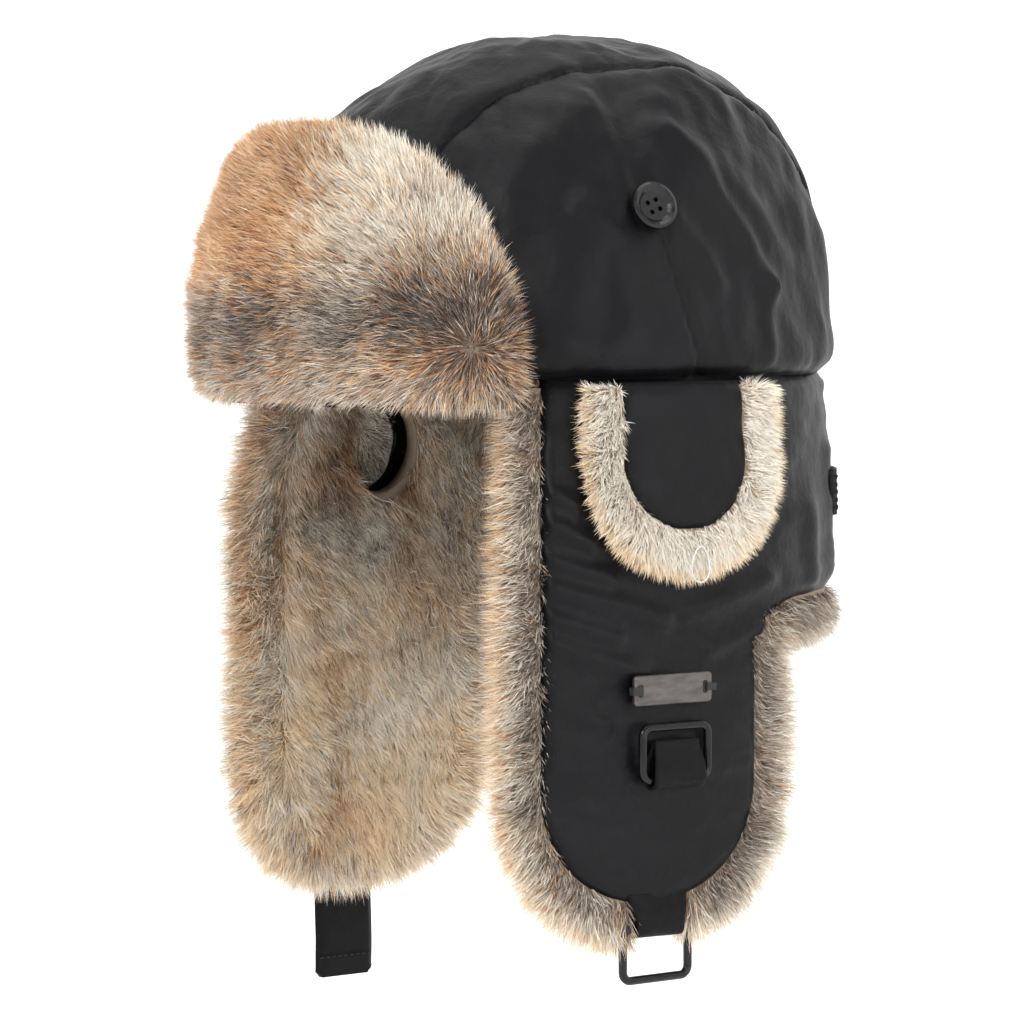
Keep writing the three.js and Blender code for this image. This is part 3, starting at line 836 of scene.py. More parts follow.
def grow_fur(pelt, comb, shade, warmth, grow=None, pile=None, lift=0.6, scatter=0.3, hairs=1.0, seed=0):
    """Grows hair on a pelt from values at its vertices, and leaves pelt and hair as one plain mesh."""
    if not FUR:
        FUR["lock"] = lock_of_hair()
        FUR["tree"] = fur_tree(MATERIALS["hairs"], MATERIALS["underfur"])
    count = len(pelt.data.vertices)
    ones = np.ones(count)
    keep_values(pelt, "comb", comb)
    keep_values(pelt, "shade", shade)
    keep_values(pelt, "warmth", warmth)
    keep_values(pelt, "grow", ones if grow is None else grow)
    keep_values(pelt, "pile", ones if pile is None else pile)
    modifier = pelt.modifiers.new("Fur", "NODES")
    modifier.node_group = FUR["tree"].tree
    settings = {
        "Lock": FUR["lock"],
        "Hairs": sizes().hairs * 1e4 * hairs,
        "Length": sizes().pile,
        "Lift": lift,
        "Scatter": scatter,
        "Seed": sizes().seed + seed,
    }
    for label, value in settings.items():
        modifier[FUR["tree"].sockets[label]] = value
    settle(pelt)
    for name in ("tone_draw", "warm_draw", "along", "comb", "shade", "warmth", "grow", "pile"):
        kept = pelt.data.attributes.get(name)
        if kept:
            pelt.data.attributes.remove(kept)
    return pelt


def put_away_lock():
    if FUR:
        bpy.data.objects.remove(FUR["lock"])


def unit(v):
    return v / np.maximum(1e-9, np.linalg.norm(v, axis=-1, keepdims=True))


def finish_fur(made, *nodes):
    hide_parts(*nodes)


def roll_out(edge, width, high, low):
    """The outer side of a rolled edge: how far out it stands, from under the cloth's edge to its own."""
    past = np.clip((edge / width - 0.3) / 0.7, 0, 1)
    out = low + (high - low) * np.sqrt(1 - past**2)
    out -= 2 * MM * smooth((0.3 * width - edge) / (0.4 * width))
    return mix(out, low, smooth((-edge - 2.5 * MM) / (5 * MM)))


def edge_tones(edge, points, seed):
    """Tones across a rolled edge: grey by the cloth, then cream, then tan and rust at its outer side."""
    t = np.clip(edge / FUR_EDGE, 0, 1)
    spots = mottle(points, 14 * MM, seed)
    shade = 0.38 + 0.3 * smooth((t - 0.12) / 0.6) - 0.24 * smooth((t - 0.7) / 0.3) + 0.2 * (spots - 0.5)
    warmth = 0.05 + 0.9 * smooth((t - 0.5) / 0.45) + 0.3 * (mottle(points, 20 * MM, seed + 3) - 0.5)
    return shade, warmth


def lining_tones(points, seed):
    """Tones of the fur inside band and flaps: dark streaks above, brown patches, pale low down."""
    z = points[:, 2]
    streak = mottle(points * np.array([1, 1, 0.16]), 9 * MM, seed)
    patch = mottle(points * np.array([1, 1, 0.4]), 30 * MM, seed + 1)
    shade = 0.52 + 0.34 * smooth((-z - 0.045) / 0.1) + 0.36 * (streak - 0.5) + 0.28 * (patch - 0.5)
    warmth = 0.36 + 0.25 * smooth((-z - 0.07) / 0.1) + 0.8 * (mottle(points, 30 * MM, seed + 2) - 0.5)
    return shade, warmth


def side_grid(rows, columns, half, end, top):
    """Y and Z over a flap-shaped outline: rows down its straight sides, then round its end."""
    v = np.linspace(0, 1, rows)[:, None]
    u = np.linspace(-1, 1, columns)[None, :]
    straight = 0.45
    turn = math.radians(88) * np.maximum(0, (v - straight) / (1 - straight))
    z = np.where(v < straight, mix(top, FLAP_ROUND_Z, v / straight), FLAP_ROUND_Z - end * np.sin(turn)) + 0 * u
    y = FLAP_Y + half * np.sin(u * math.pi / 2) * np.cos(turn)
    return y, z


def tip_notch(y, z):
    """1 where the webbing at a flap's end needs room in the fur."""
    return smooth((14.5 * MM - np.abs(y - TIP_Y)) / (3 * MM)) * smooth((SHELL_TIP_Z + 3 * MM - z) / (3 * MM))


def make_flap_furs():
    reach, reach_down = FUR_EDGE - 2 * MM, FUR_EDGE - 7 * MM
    for name, side in SIDES.items():
        y, z = side_grid(70, 60, FLAP_HALF + reach, FLAP_END + reach_down, FOLD_Z)
        edge = flap_edge(y, z)
        notch = tip_notch(y, z)
        if side > 0:
            z = mix(z, np.maximum(z, SHELL_TIP_Z + 1 * MM), notch)
        outer = band_point(bearing_of(y), z, mix(roll_out(edge, reach, -1 * MM, -8 * MM), -9 * MM, notch))
        thick = 5 * MM * np.sqrt(np.clip(1 - (edge / reach).clip(0, 1) ** 2, 0, 1))
        inner = band_point(bearing_of(y), z, -9.5 * MM - thick)
        flip = np.array([side, 1, 1])
        pelt = pad_object(f"flap_pelt_{name}", outer * flip, inner * flip)
        p, n = vertices_of(pelt), normals_of(pelt)
        y = side_y(p)
        edge = flap_edge(y, p[:, 2])
        away = np.stack([0 * edge, y - FLAP_Y, np.minimum(0, p[:, 2] - FLAP_ROUND_Z)], -1)
        away = unit(away)
        on_roll = smooth((edge + 3 * MM) / (6 * MM))[:, None]
        down = np.array([0, 0.0, -1.0])
        comb = mix(down * 0.95, away * 1.0 + down * 0.25, on_roll)
        facing_out = n[:, 0] * side > 0
        roll_shade, roll_warm = edge_tones(edge, p, 21 + side)
        in_shade, in_warm = lining_tones(p, 31 + side)
        share = np.where(facing_out, 1, smooth((edge - 2 * MM) / (8 * MM)) * 0.6)
        shade = mix(in_shade, roll_shade, share)
        warmth = mix(in_warm, roll_warm, share)
        grow = np.where(facing_out & (edge < -0.8 * MM), 0, 1.0)
        grow = np.where(p[:, 2] > FOLD_Z - 1e-5, 0, grow)
        bare = tip_notch(y, p[:, 2] - 5 * MM) > 0.3
        grow = np.where(bare & (facing_out | (side > 0)), 0, grow)
        pile = mix(np.where(facing_out, 0.6, 1.0), 1.3, smooth(edge / (9 * MM)))
        grow_fur(pelt, comb, shade, warmth, grow, pile, 0.62, 0.28, 0.95, 100 + side)
        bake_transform(pelt)
        finish_fur(pelt, f"flap_fur_{name}")


def make_band_furs():
    reach = FUR_EDGE - 2 * MM
    front_y = FLAP_Y - FLAP_HALF
    for name, side in SIDES.items():
        near = np.linspace(0, 1, 14)
        y = front_y - reach * (1 - near)
        rest = np.linspace(bearing_of(front_y), math.pi, 70)[1:]
        bearing = np.concatenate([bearing_of(y), rest])[None, :]
        z = np.linspace(-3 * MM, FOLD_Z, 46)[:, None] + 0 * bearing
        bearing = bearing + 0 * z
        edge = np.where(bearing > math.pi / 2, -0.05, front_y - side_y(band_point(bearing, z, 0)))
        outer = band_point(bearing, z, roll_out(edge, reach, -1 * MM, -8 * MM))
        thick = 6 * MM * np.sqrt(np.clip(1 - (edge / reach).clip(0, 1) ** 2, 0, 1))
        inner = band_point(bearing, z, -8 * MM - thick)
        flip = np.array([side, 1, 1])
        pelt = cut_ear_opening(pad_object(f"band_pelt_{name}", outer * flip, inner * flip), side, 1 * MM)
        p, n = vertices_of(pelt), normals_of(pelt)
        radial = unit(p * np.array([1, 1, 0]))
        facing_out = (n * radial).sum(1) > 0.05
        edge = np.where(p[:, 1] > 0, -0.05, front_y - side_y(p))
        on_roll = smooth((edge + 3 * MM) / (6 * MM))[:, None]
        down = np.array([0, 0.0, -1.0])
        forward = np.array([0, -1.0, -0.3])
        comb = mix(down * 0.9, forward, on_roll)
        roll_shade, roll_warm = edge_tones(edge, p, 21 + side)
        in_shade, in_warm = lining_tones(p, 31 + side)
        share = np.where(facing_out, 1, smooth((edge - 2 * MM) / (8 * MM)) * 0.6)
        grow = np.where(facing_out & (edge < -0.8 * MM), 0, 1.0)
        grow = np.where(np.abs(n[:, 2]) > 0.9, 0, grow)
        grow = np.where(p[:, 2] > -4 * MM, 0, grow)
        from_ear = np.hypot((side_y(p) - COVER_Y) / EAR_OPENING[0], (p[:, 2] - EAR_OPENING_Z) / EAR_OPENING[1])
        grow = np.where((from_ear < 1.25) & (p[:, 1] < 40 * MM), 0, grow)
        pile = mix(np.where(facing_out, 0.6, 1.0), 1.3, smooth(edge / (9 * MM)))
        shade, warmth = mix(in_shade, roll_shade, share), mix(in_warm, roll_warm, share)
        grow_fur(pelt, comb, shade, warmth, grow, pile, 0.62, 0.28, 0.9, 200 + side)
        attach(pelt, "hat")
        finish_fur(pelt, f"band_fur_{name}")


def make_nape_fur():
    start = float(bearing_of(FLAP_Y + FLAP_HALF + 4 * MM))
    bearing = np.linspace(start, 2 * math.pi - start, 130)[None, :]
    t = np.linspace(0, 1, 16)[:, None]
    lowest = NAPE_FUR_Z + 4 * MM
    folded = np.where(bearing > math.pi, 2 * math.pi - bearing, bearing)
    low = mix(FOLD_Z - 10 * MM, lowest, smooth((folded - start) / 0.3)) + 0 * t
    z = mix(HEM_Z + 6 * MM, low, t) + 0 * bearing
    bearing = bearing + 0 * z
    round_ = np.sqrt(np.clip(1 - (2 * t - 1) ** 4, 0, 1)) + 0 * bearing
    outer = band_point(bearing, z, mix(-8 * MM, -1.2 * MM, round_))
    inner = band_point(bearing, z, mix(-8 * MM, -14 * MM, round_))
    pelt = pad_object("nape_pelt", outer, inner)
    p, n = vertices_of(pelt), normals_of(pelt)
    radial = unit(p * np.array([1, 1, 0]))
    comb = np.array([0, 0, -0.9]) + 0.25 * radial
    edge = HEM_Z - p[:, 2]
    shade, warmth = edge_tones(edge * 0.8, p, 41)
    grow = np.where(p[:, 2] > HEM_Z + 0.3 * MM, 0, 1.0)
    grow_fur(pelt, comb, shade, warmth, grow, 0.9 + 0 * shade, 0.7, 0.3, 0.9, 300)
    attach(pelt, "hat")


def cover_grid(rows, columns, half, end, top):
    v = np.linspace(0, 1, rows)[:, None]
    u = np.linspace(-1, 1, columns)[None, :]
    straight = 0.4
    turn = math.radians(88) * np.maximum(0, (v - straight) / (1 - straight))
    z = np.where(v < straight, mix(top, COVER_ROUND_Z, v / straight), COVER_ROUND_Z - end * np.sin(turn)) + 0 * u
    y = COVER_Y + half * np.sin(u * math.pi / 2) * np.cos(turn)
    return y, z


def cover_edge(y, z):
    return flap_edge(y, z, COVER_HALF, COVER_HALF, COVER_Y, COVER_ROUND_Z)


def make_ear_covers():
    reach = COVER_EDGE - 3.5 * MM
    back = 1.2 * MM
    for name, side in SIDES.items():
        flip = np.array([side, 1, 1])
        y, z = cover_grid(46, 40, COVER_HALF + 1 * MM, COVER_HALF + 1 * MM, -1 * MM)
        edge = cover_edge(y, z)
        out = 5.5 * MM - 3 * MM * np.exp(-np.maximum(0, -edge) / (2 * MM))
        soft = mottle(np.stack([0 * y, y, z], -1), 12 * MM, 51 + side) - 0.5
        out = out + 1.2 * MM * soft - 3 * MM * bump(z, 3 * MM)
        cloth = sheet_object(f"ear_cover_cloth_{name}", band_point(bearing_of(y), z, out) * flip, sizes().cloth)
        paint(cloth, "cloth")
        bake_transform(cloth)
        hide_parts(f"ear_cover_shell_{name}")
        y, z = cover_grid(50, 56, COVER_HALF + reach, COVER_HALF + reach, -3 * MM)
        edge = cover_edge(y, z)
        t = (edge / reach).clip(-0.3, 1)
        high = back + 1 * MM + 5.0 * MM * np.sqrt(np.clip(1 - ((t - 0.45) / 0.56) ** 2, 0, 1))
        outer = band_point(bearing_of(y), z, high)
        inner = band_point(bearing_of(y), z, back + 0 * y)
        pelt = pad_object(f"ear_cover_pelt_{name}", outer * flip, inner * flip)
        p, n = vertices_of(pelt), normals_of(pelt)
        edge = cover_edge(side_y(p), p[:, 2])
        away = unit(np.stack([0 * edge, side_y(p) - COVER_Y, np.minimum(0, p[:, 2] - COVER_ROUND_Z)], -1))
        comb = away * 0.9 + np.array([0, 0, -0.35])
        shade, warmth = edge_tones(edge * 0.95, p, 61 + side)
        shade = shade + 0.46
        warmth = warmth + 0.3 * smooth((edge - 8 * MM) / (6 * MM))
        facing_out = n[:, 0] * side > -0.2
        grow = np.where(facing_out, edge > -1 * MM, 0.55 * (p[:, 2] < -7 * MM))
        grow_fur(pelt, comb, shade, warmth, grow, np.where(facing_out, 0.62, 0.36), 0.62, 0.3, 1.2, 400 + side)
        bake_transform(pelt)
        finish_fur(pelt, f"ear_cover_fur_{name}")


# ---- Visor ----
def visor_point(bearing, z, out):
    r = plan_radius(bearing, z) + VISOR_BACK - VISOR_LEAN * smooth((z - 20 * MM) / (85 * MM)) + out
    return np.stack([r * np.sin(bearing), -r * np.cos(bearing), z], -1)


def visor_grid(rows, columns, inset):
    """Bearings and heights over the visor's outline, which inset draws in all round."""
    turn = np.radians(np.linspace(-89, 89, columns))[None, :]
    aside = np.sign(turn) * np.abs(np.sin(turn)) ** 0.78
    bearing = (VISOR_HALF_ANGLE - inset / HALF_DEPTH) * aside
    top = mix(VISOR_LOW_Z + inset, VISOR_TOP_Z - inset, np.cos(turn) ** 0.78)
    top = top - 5 * MM * bump(bearing + math.radians(38), math.radians(14))
    v = 0.5 - 0.5 * np.cos(np.linspace(0, math.pi, rows))[:, None]
    z = mix(top, VISOR_LOW_Z + inset, v)
    return bearing + 0 * z, z


def visor_inside(bearing, z, inset):
    """How far within the visor's outline a point is, roughly."""
    across = np.abs(bearing) / (VISOR_HALF_ANGLE - inset / HALF_DEPTH)
    up = (z - VISOR_LOW_Z - inset) / (VISOR_TOP_Z - VISOR_LOW_Z - 2 * inset)
    from_top = (1 - (across.clip(0, 1) ** 2.56 + up.clip(0, 1) ** 2.56) ** (1 / 2.56)) * 100 * MM
    return np.minimum(from_top, z - VISOR_LOW_Z - inset).clip(0, None)


def visor_tones(p):
    bearing = np.degrees(np.arctan2(p[:, 0], -p[:, 1]))
    z = p[:, 2] / MM
    spots = mottle(p, 22 * MM, 71)
    fine = mottle(p, 9 * MM, 72)
    shade = 0.49 + 0 * z
    warmth = 0.42 + 0 * z
    pale = smooth((bearing - 8) / 22) * smooth((z - 36) / 22)
    shade += 0.27 * pale
    warmth -= 0.22 * pale
    tan = smooth((26 - bearing) / 26)
    warmth += 0.5 * tan * smooth((z - 20) / 20)
    shade -= 0.1 * tan
    streak = bump(z - (17 + 0.1 * (bearing + 20)), 13) * smooth((bearing + 30) / 28)
    shade -= 0.24 * streak
    warmth -= 0.34 * streak
    dark = bump(np.hypot(bearing - 42, (z - 14) * 0.9), 13)
    shade -= 0.16 * dark
    low = smooth((6 - z) / 8)
    shade += 0.02 * low
    warmth -= 0.15 * low
    rust = smooth((bearing - 46) / 6) * smooth((z - 2) / 20)
    warmth += 0.55 * rust
    shade -= 0.12 * rust
    corner = smooth((-30 - bearing) / 16) * smooth((24 - z) / 30)
    warmth += 0.35 * corner
    return shade + 0.2 * (spots - 0.5) + 0.14 * (fine - 0.5), warmth + 0.35 * (mottle(p, 28 * MM, 73) - 0.5)


def make_visor():
    inset = 8 * MM
    bearing, z = visor_grid(44, 130, 4 * MM)
    cloth = sheet_object("visor_back_cloth", visor_point(bearing, z, 1.2 * MM + 0 * z), 1 * MM)
    paint(cloth, "cloth")
    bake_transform(cloth)
    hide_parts("visor_shell", "visor_padding")
    bearing, z = visor_grid(56, 150, inset)
    inside = visor_inside(bearing, z, inset)
    puff = np.sqrt(np.clip(1 - (1 - (inside / (15 * MM)).clip(0, 1)) ** 2, 0, 1))
    outer = visor_point(bearing, z, mix(3.5 * MM, 11.5 * MM, puff))
    inner = visor_point(bearing, z, 1.8 * MM + 0 * z)
    pelt = pad_object("visor_pelt", outer, inner)
    p, n = vertices_of(pelt), normals_of(pelt)
    bearing = np.arctan2(p[:, 0], -p[:, 1])
    # The hairs part round a whorl low on the wearer's left.
    whorl_bearing, whorl_z = math.radians(42), 13 * MM
    along = (bearing - whorl_bearing) * 0.13
    up = p[:, 2] - whorl_z
    near = np.hypot(along, up)[:, None]
    round_ = np.stack([np.cos(bearing), np.sin(bearing), 0 * bearing], -1)
    away = (round_ * along[:, None] + np.array([0, 0, 1.0]) * up[:, None] * 1.2) / np.maximum(near, 5 * MM)
    comb = away * 0.9 + round_ * -0.2
    radial = unit(p * np.array([1, 1, 0]))
    facing_out = (n * radial).sum(1) > -0.35
    shade, warmth = visor_tones(p)
    grow = np.where(facing_out, 1.0, 0)
    grow_fur(pelt, comb, shade, warmth, grow, 0.85 + 0 * shade, 0.5, 0.28, 1.0, 500)
    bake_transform(pelt)
    finish_fur(pelt, "visor_fur")


# ---- Plate, rings, loops ----
def node_points(node):
    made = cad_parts[node]
    return np.array([made.matrix_world @ v.co for v in made.data.vertices])


def lie_of(node):
    """A flat node's middle, its axes across, up and out, and its half sizes along them."""
    points = node_points(node)
    low, high = points.min(0), points.max(0)
    middle = (low + high) / 2
    out = np.linalg.svd(points - middle, full_matrices=False)[2][2]
    out = out * np.sign(out[0] * middle[0])
    up = unit(np.array([0, 0, 1.0]) - out * out[2])
    across = np.cross(up, out)
    axes = np.stack([across, up, out])
    local = (points - middle) @ axes.T
    middle = middle + axes.T @ ((local.min(0) + local.max(0)) / 2)
    return middle, axes, (local.max(0) - local.min(0)) / 2


def tube_object(name, path, radius, sides=12, closed=True, flat=1.0):
    """A round wire along the points of a path."""
    count = len(path)
    ahead = unit(np.roll(path, -1, 0) - np.roll(path, 1, 0))
    if not closed:
        ahead[0], ahead[-1] = unit(path[1] - path[0]), unit(path[-1] - path[-2])
    normal = unit(np.cross(path[count // 3] - path[0], path[2 * count // 3] - path[0]))
    aside = unit(np.cross(ahead, normal))
    turn = np.linspace(0, 2 * math.pi, sides, endpoint=False)
    rings = (
        path[:, None, :]
        + radius * np.cos(turn)[None, :, None] * aside[:, None, :]
        + radius * flat * np.sin(turn)[None, :, None] * normal
    )
    faces = []
    for i in range(count if closed else count - 1):
        for j in range(sides):
            a, b = i * sides, (i + 1) % count * sides
            faces.append([a + j, a + (j + 1) % sides, b + (j + 1) % sides, b + j])
    if not closed:
        faces += [list(range(sides)), list(range((count - 1) * sides, count * sides))]
    return make_object(name, rings, faces)


def rounded_outline(half_across, half_up, corner, steps=8):
    """Points round an oblong with round corners."""
    made = []
    for quarter, (sx, sy) in enumerate(((1, 1), (-1, 1), (-1, -1), (1, -1))):
        for k in range(steps + 1):
            a = math.pi / 2 * (quarter + k / steps)
            across = sx * (half_across - corner) + corner * math.cos(a)
            made.append([across, sy * (half_up - corner) + corner * math.sin(a)])
    return np.array(made)


def make_rings():
    for node in ("middle_ring", "tip_ring"):
        middle, axes, half = lie_of(node)
        wire = half[2]
        outline = rounded_outline(half[0] - wire, half[1] - wire, 3.4 * MM)
        path = middle + outline @ axes[:2]
        ring = paint(tube_object(f"{node}_wire", path, wire, 16), "ring")
        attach(ring, node)
        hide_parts(node)


def make_loops():
    for name, side in SIDES.items():
        node = f"ear_cover_loop_{name}"
        middle, axes, half = lie_of(node)
        turn = np.linspace(0, 2 * math.pi, 40, endpoint=False)
        narrow = 1 - 0.25 * np.sin(turn)
        outline = np.stack([half[0] * 0.8 * np.cos(turn) * narrow, half[1] * 0.95 * np.sin(turn)], -1)
        path = middle + outline @ axes[:2] - np.outer(0.3 * MM * np.cos(turn) ** 2, axes[2])
        loop = paint(tube_object(f"ear_cover_thread_{name}", path, 0.34 * MM, 8), "loop")
        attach(loop, f"ear_cover_{name}")
        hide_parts(node)


# ---- Webbing ----
def webbing_grid(length, width, steps, columns=13):
    along = np.linspace(0, length, steps)[:, None]
    across = np.linspace(-width / 2, width / 2, columns)[None, :]
    return along + 0 * across, across + 0 * along


def stitch_tree():
    """Short threads set along the edges of a wire mesh."""
    t = Nodes("Stitches", [("Pitch", "Float", 0.003), ("Thread", "Float", 0.0004), ("Material", "Material", None)])
    curve = t.add("GeometryNodeMeshToCurve", {"Mesh": t["Geometry"]})
    spaced = t.add("GeometryNodeCurveToPoints", {"Curve": curve.outputs[0], "Length": t["Pitch"]}, {"mode": "LENGTH"})
    long = t.math("MULTIPLY", t["Pitch"], 0.62)
    thread = t.add("GeometryNodeMeshCylinder", {"Radius": t["Thread"], "Depth": long}, values={"Vertices": 6})
    stand = t.add("FunctionNodeAlignRotationToVector", {"Vector": spaced.outputs["Tangent"]}, {"axis": "Z"})
    laid = t.add(
        "GeometryNodeInstanceOnPoints",
        {"Points": spaced.outputs["Points"], "Instance": thread.outputs["Mesh"], "Rotation": stand.outputs[0]},
    )
    whole = t.add("GeometryNodeRealizeInstances", {"Geometry": laid.outputs[0]})
    painted = t.add("GeometryNodeSetMaterial", {"Geometry": whole.outputs[0], "Material": t["Material"]})
    return t.finish(painted.outputs[0])


STITCHES = {}


def sew(name, lines, body, pitch=2.6 * MM, thread=0.28 * MM):
    """Rows of stitches along lines of points, which stay with a body."""
    if not STITCHES:
        STITCHES["tree"] = stitch_tree()
    vertices, edges = [], []
    for line in lines:
        edges += [(len(vertices) + i, len(vertices) + i + 1) for i in range(len(line) - 1)]
        vertices += [tuple(p) for p in line]
    mesh = bpy.data.meshes.new(name)
    mesh.from_pydata(vertices, edges, [])
    made = bpy.data.objects.new(name, mesh)
    bpy.context.scene.collection.objects.link(made)
    modifier = made.modifiers.new("Stitches", "NODES")
    modifier.node_group = STITCHES["tree"].tree
    for label, value in (("Pitch", pitch), ("Thread", thread), ("Material", MATERIALS["thread"])):
        modifier[STITCHES["tree"].sockets[label]] = value
    settle(made)
    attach(made, body)
    return made


def make_chin_strap():
    low, high = (np.array(corner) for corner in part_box("chin_strap"))
    middle_x, middle_y = (low[0] + high[0]) / 2, (low[1] + high[1]) / 2
    width, thick = high[1] - low[1], high[0] - low[0]
    top = high[2] + 0.5 * MM
    down, across = webbing_grid(top - low[2], width, 60)
    # Its end has clipped corners.
    to_end = (top - low[2] - down) / (3.5 * MM)
    across = across * (1 - 0.2 * (1 - smooth(to_end * 1.2)) * (np.abs(across) / width * 2) ** 4)
    z = top - down
    place = np.stack([0 * z, across, z], -1)
    wave = 0.5 * MM * (mottle(place, 18 * MM, 91) - 0.5) + 0.5 * MM * np.sin((z - low[2]) / (9 * MM))
    hem = 0.5 * MM * smooth((low[2] + 9 * MM - z) / (1 * MM))
    round_ = np.sqrt(np.clip(1 - (2 * np.abs(across) / width) ** 12, 0, 1))
    outer = np.stack([middle_x + wave + (thick / 2 + hem) * round_, middle_y + across, z], -1)
    inner = np.stack([middle_x + wave - (thick / 2 + hem) * round_, middle_y + across, z], -1)
    strap = paint(pad_object("chin_strap_webbing", outer, inner), "webbing")
    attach(strap, "strap")
    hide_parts("chin_strap")
    lines = []
    for grid, sign in ((outer, 1), (inner, -1)):
        for z_line in (low[2] + 8 * MM, low[2] + 40 * MM):
            row = int(np.argmin(np.abs(z[:, 0] - z_line)))
            lines.append(grid[row, 1:-1] + np.array([sign * 0.15 * MM, 0, 0]))
    sew("chin_strap_stitches", lines, "strap")


def tapered_tab(name, node, body, bottom_wide, top_wide, top_more):
    """A strip folded round a ring's bar: its two legs lie together, wider or narrower towards the top."""
    low, high = (np.array(corner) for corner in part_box(node))
    middle = (low + high) / 2
    radius = (high[0] - low[0]) / 2
    bar_z = low[2] + radius
    top = high[2] + top_more
    front = [[radius * mix(0.25, 1, smooth(t * 1.3)), mix(top, bar_z, t)] for t in np.linspace(0, 1, 18)]
    curl = [[radius * math.cos(a), bar_z - radius * math.sin(a)] for a in np.linspace(0, math.pi, 14)[1:-1]]
    back = [[-x, z] for x, z in front[::-1]]
    line = np.array(front + curl + back)
    across = np.linspace(-1, 1, 15)[None, :]
    z = line[:, 1][:, None] + 0 * across
    wide = mix(bottom_wide, top_wide, smooth((z - bar_z) / (top - bar_z))) / 2
    y = middle[1] + across * wide
    sag = 0.6 * MM * (mottle(np.stack([line[:, 0][:, None] + 0 * y, y, z], -1), 7 * MM, 95) - 0.5)
    lean = bearing_lean(middle)
    x = middle[0] + (line[:, 0][:, None] + sag) * np.sign(middle[0]) + (y - middle[1]) * lean
    tab = make_object(name, np.stack([x, y, z], -1), grid_faces(*y.shape))
    solid = tab.modifiers.new("Webbing", "SOLIDIFY")
    solid.thickness = 1.0 * MM
    solid.offset = 0
    settle(tab)
    paint(tab, "webbing")
    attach(tab, body)
    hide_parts(node)


def bearing_lean(middle):
    """How the hat's side runs across a place on it: its change of X along Y."""
    y = np.array([middle[1] - MM, middle[1] + MM])
    x = band_point(bearing_of(y), np.array([middle[2]] * 2), 0)[:, 0]
    return (x[1] - x[0]) / (2 * MM) * np.sign(middle[0])


def make_tabs():
    tapered_tab("middle_tab_webbing", "middle_tab", "flap_left", 22 * MM, 19 * MM, 0.5 * MM)
    tapered_tab("tip_tab_webbing", "tip_tab", "flap_left", 20 * MM, 25 * MM, 4.5 * MM)


def make_adjuster():
    low, high = (np.array(corner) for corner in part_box("adjuster_strap"))
    half = math.asin((high[0] - low[0]) / 2 / HALF_WIDTH)
    bearing = np.linspace(math.pi - half, math.pi + half, 90)[:, None]
    z = np.linspace(low[2], high[2], 13)[None, :]
    bearing, z = bearing + 0 * z, z + 0 * bearing
    place = band_point(bearing, z, 0)
    wave = 0.5 * MM * (mottle(place, 14 * MM, 97) - 0.5)
    folded = np.where(bearing > math.pi, 2 * math.pi - bearing, bearing)
    lean = -1.6 * MM * smooth((math.pi - half + 0.03 - folded) / 0.03)
    outer = band_point(bearing, z, 3.4 * MM + wave + lean)
    inner = band_point(bearing, z, 1.9 * MM + wave + lean)
    strap = paint(pad_object("adjuster_webbing", outer, inner), "webbing")
    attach(strap, "hat")
    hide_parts("adjuster_strap")
    lines = []
    for column in (2, 6, 10):
        lines.append(outer[2:14, column] * 1.002)
    lines += [outer[14, 2:11] * 1.002, outer[2, 2:11] * 1.002, outer[-4, 2:11] * 1.002]
    sew("adjuster_stitches", lines, "hat")


def make_plate():
    """The blank plate, with a raised rim round a sunk field."""
    middle, axes, half = lie_of("name_plate")
    rows = []
    for shrink, out in ((0.0, -1), (0.0, 0.55), (0.35, 0.95), (0.8, 1.0), (1.25, 0.8), (1.5, 0.62)):
        outline = rounded_outline(half[0] - shrink * MM, half[1] - shrink * MM, max(0.3, 1.6 - shrink) * MM, 6)
        rows.append(middle + outline @ axes[:2] + out * half[2] * axes[2])
    count = len(rows[0])
    faces = [list(range(count))[::-1], [count * (len(rows) - 1) + i for i in range(count)]]
    for k in range(len(rows) - 1):
        for i in range(count):
            a, b = k * count + i, k * count + (i + 1) % count
            faces.append([a, b, b + count, a + count])
    plate = paint(make_object("name_plate_blank", np.array(rows), faces), "plate")
    for polygon in plate.data.polygons:
        polygon.use_smooth = len(polygon.vertices) == 4
    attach(plate, "flap_left")
    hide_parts("name_plate")
    for end in (-1, 1):
        slot = tube_object(
            f"name_plate_slot_{'rear' if end > 0 else 'front'}",
            middle
            + rounded_outline(0.7 * MM, 2.0 * MM, 0.6 * MM, 4) @ axes[:2]
            + axes[0] * end * (half[0] - 3 * MM)
            + axes[2] * half[2] * 0.66,
            0.35 * MM,
            6,
        )
        paint(slot, "thread")
        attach(slot, "flap_left")


def dress_nodes():
    """The CAD pieces that keep their own shape get their finish."""
    finishes = {
        "plate_stitch_front": "thread",
        "plate_stitch_rear": "thread",
        "button_shank_left": "thread",
        "button_shank_right": "thread",
        "button_left": "horn",
        "button_right": "horn",
        "hook_tape": "webbing",
        "loop_tape": "webbing",
        "adjuster_tape": "webbing",
        "sweatband": "lining",
    }
    for node, finish in finishes.items():
        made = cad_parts[node]
        made.data.materials.clear()
        made.data.materials.append(MATERIALS[finish])


def make_materials():
    MATERIALS.update(
        cloth=cloth_material(),
        lining=lining_material(),
        webbing=webbing_material(),
        horn=horn_material(),
        ring=ring_material(),
        plate=plate_material(),
        thread=thread_material("hat_thread", linear(24, 24, 26), 0.7),
        loop=thread_material("hat_loop_thread", list(colours().loop), 0.35),
        hairs=hair_materials(),
        underfur=underfur_material(),
    )


# ---- Stage ----
CAMERA_BEARING = math.radians(53)
CAMERA_RISE = math.radians(1.5)
CAMERA_AWAY = 1.65
LENS = 153
LOOK_ASIDE = -9.9 * MM
LOOK_DOWN = -53 * MM


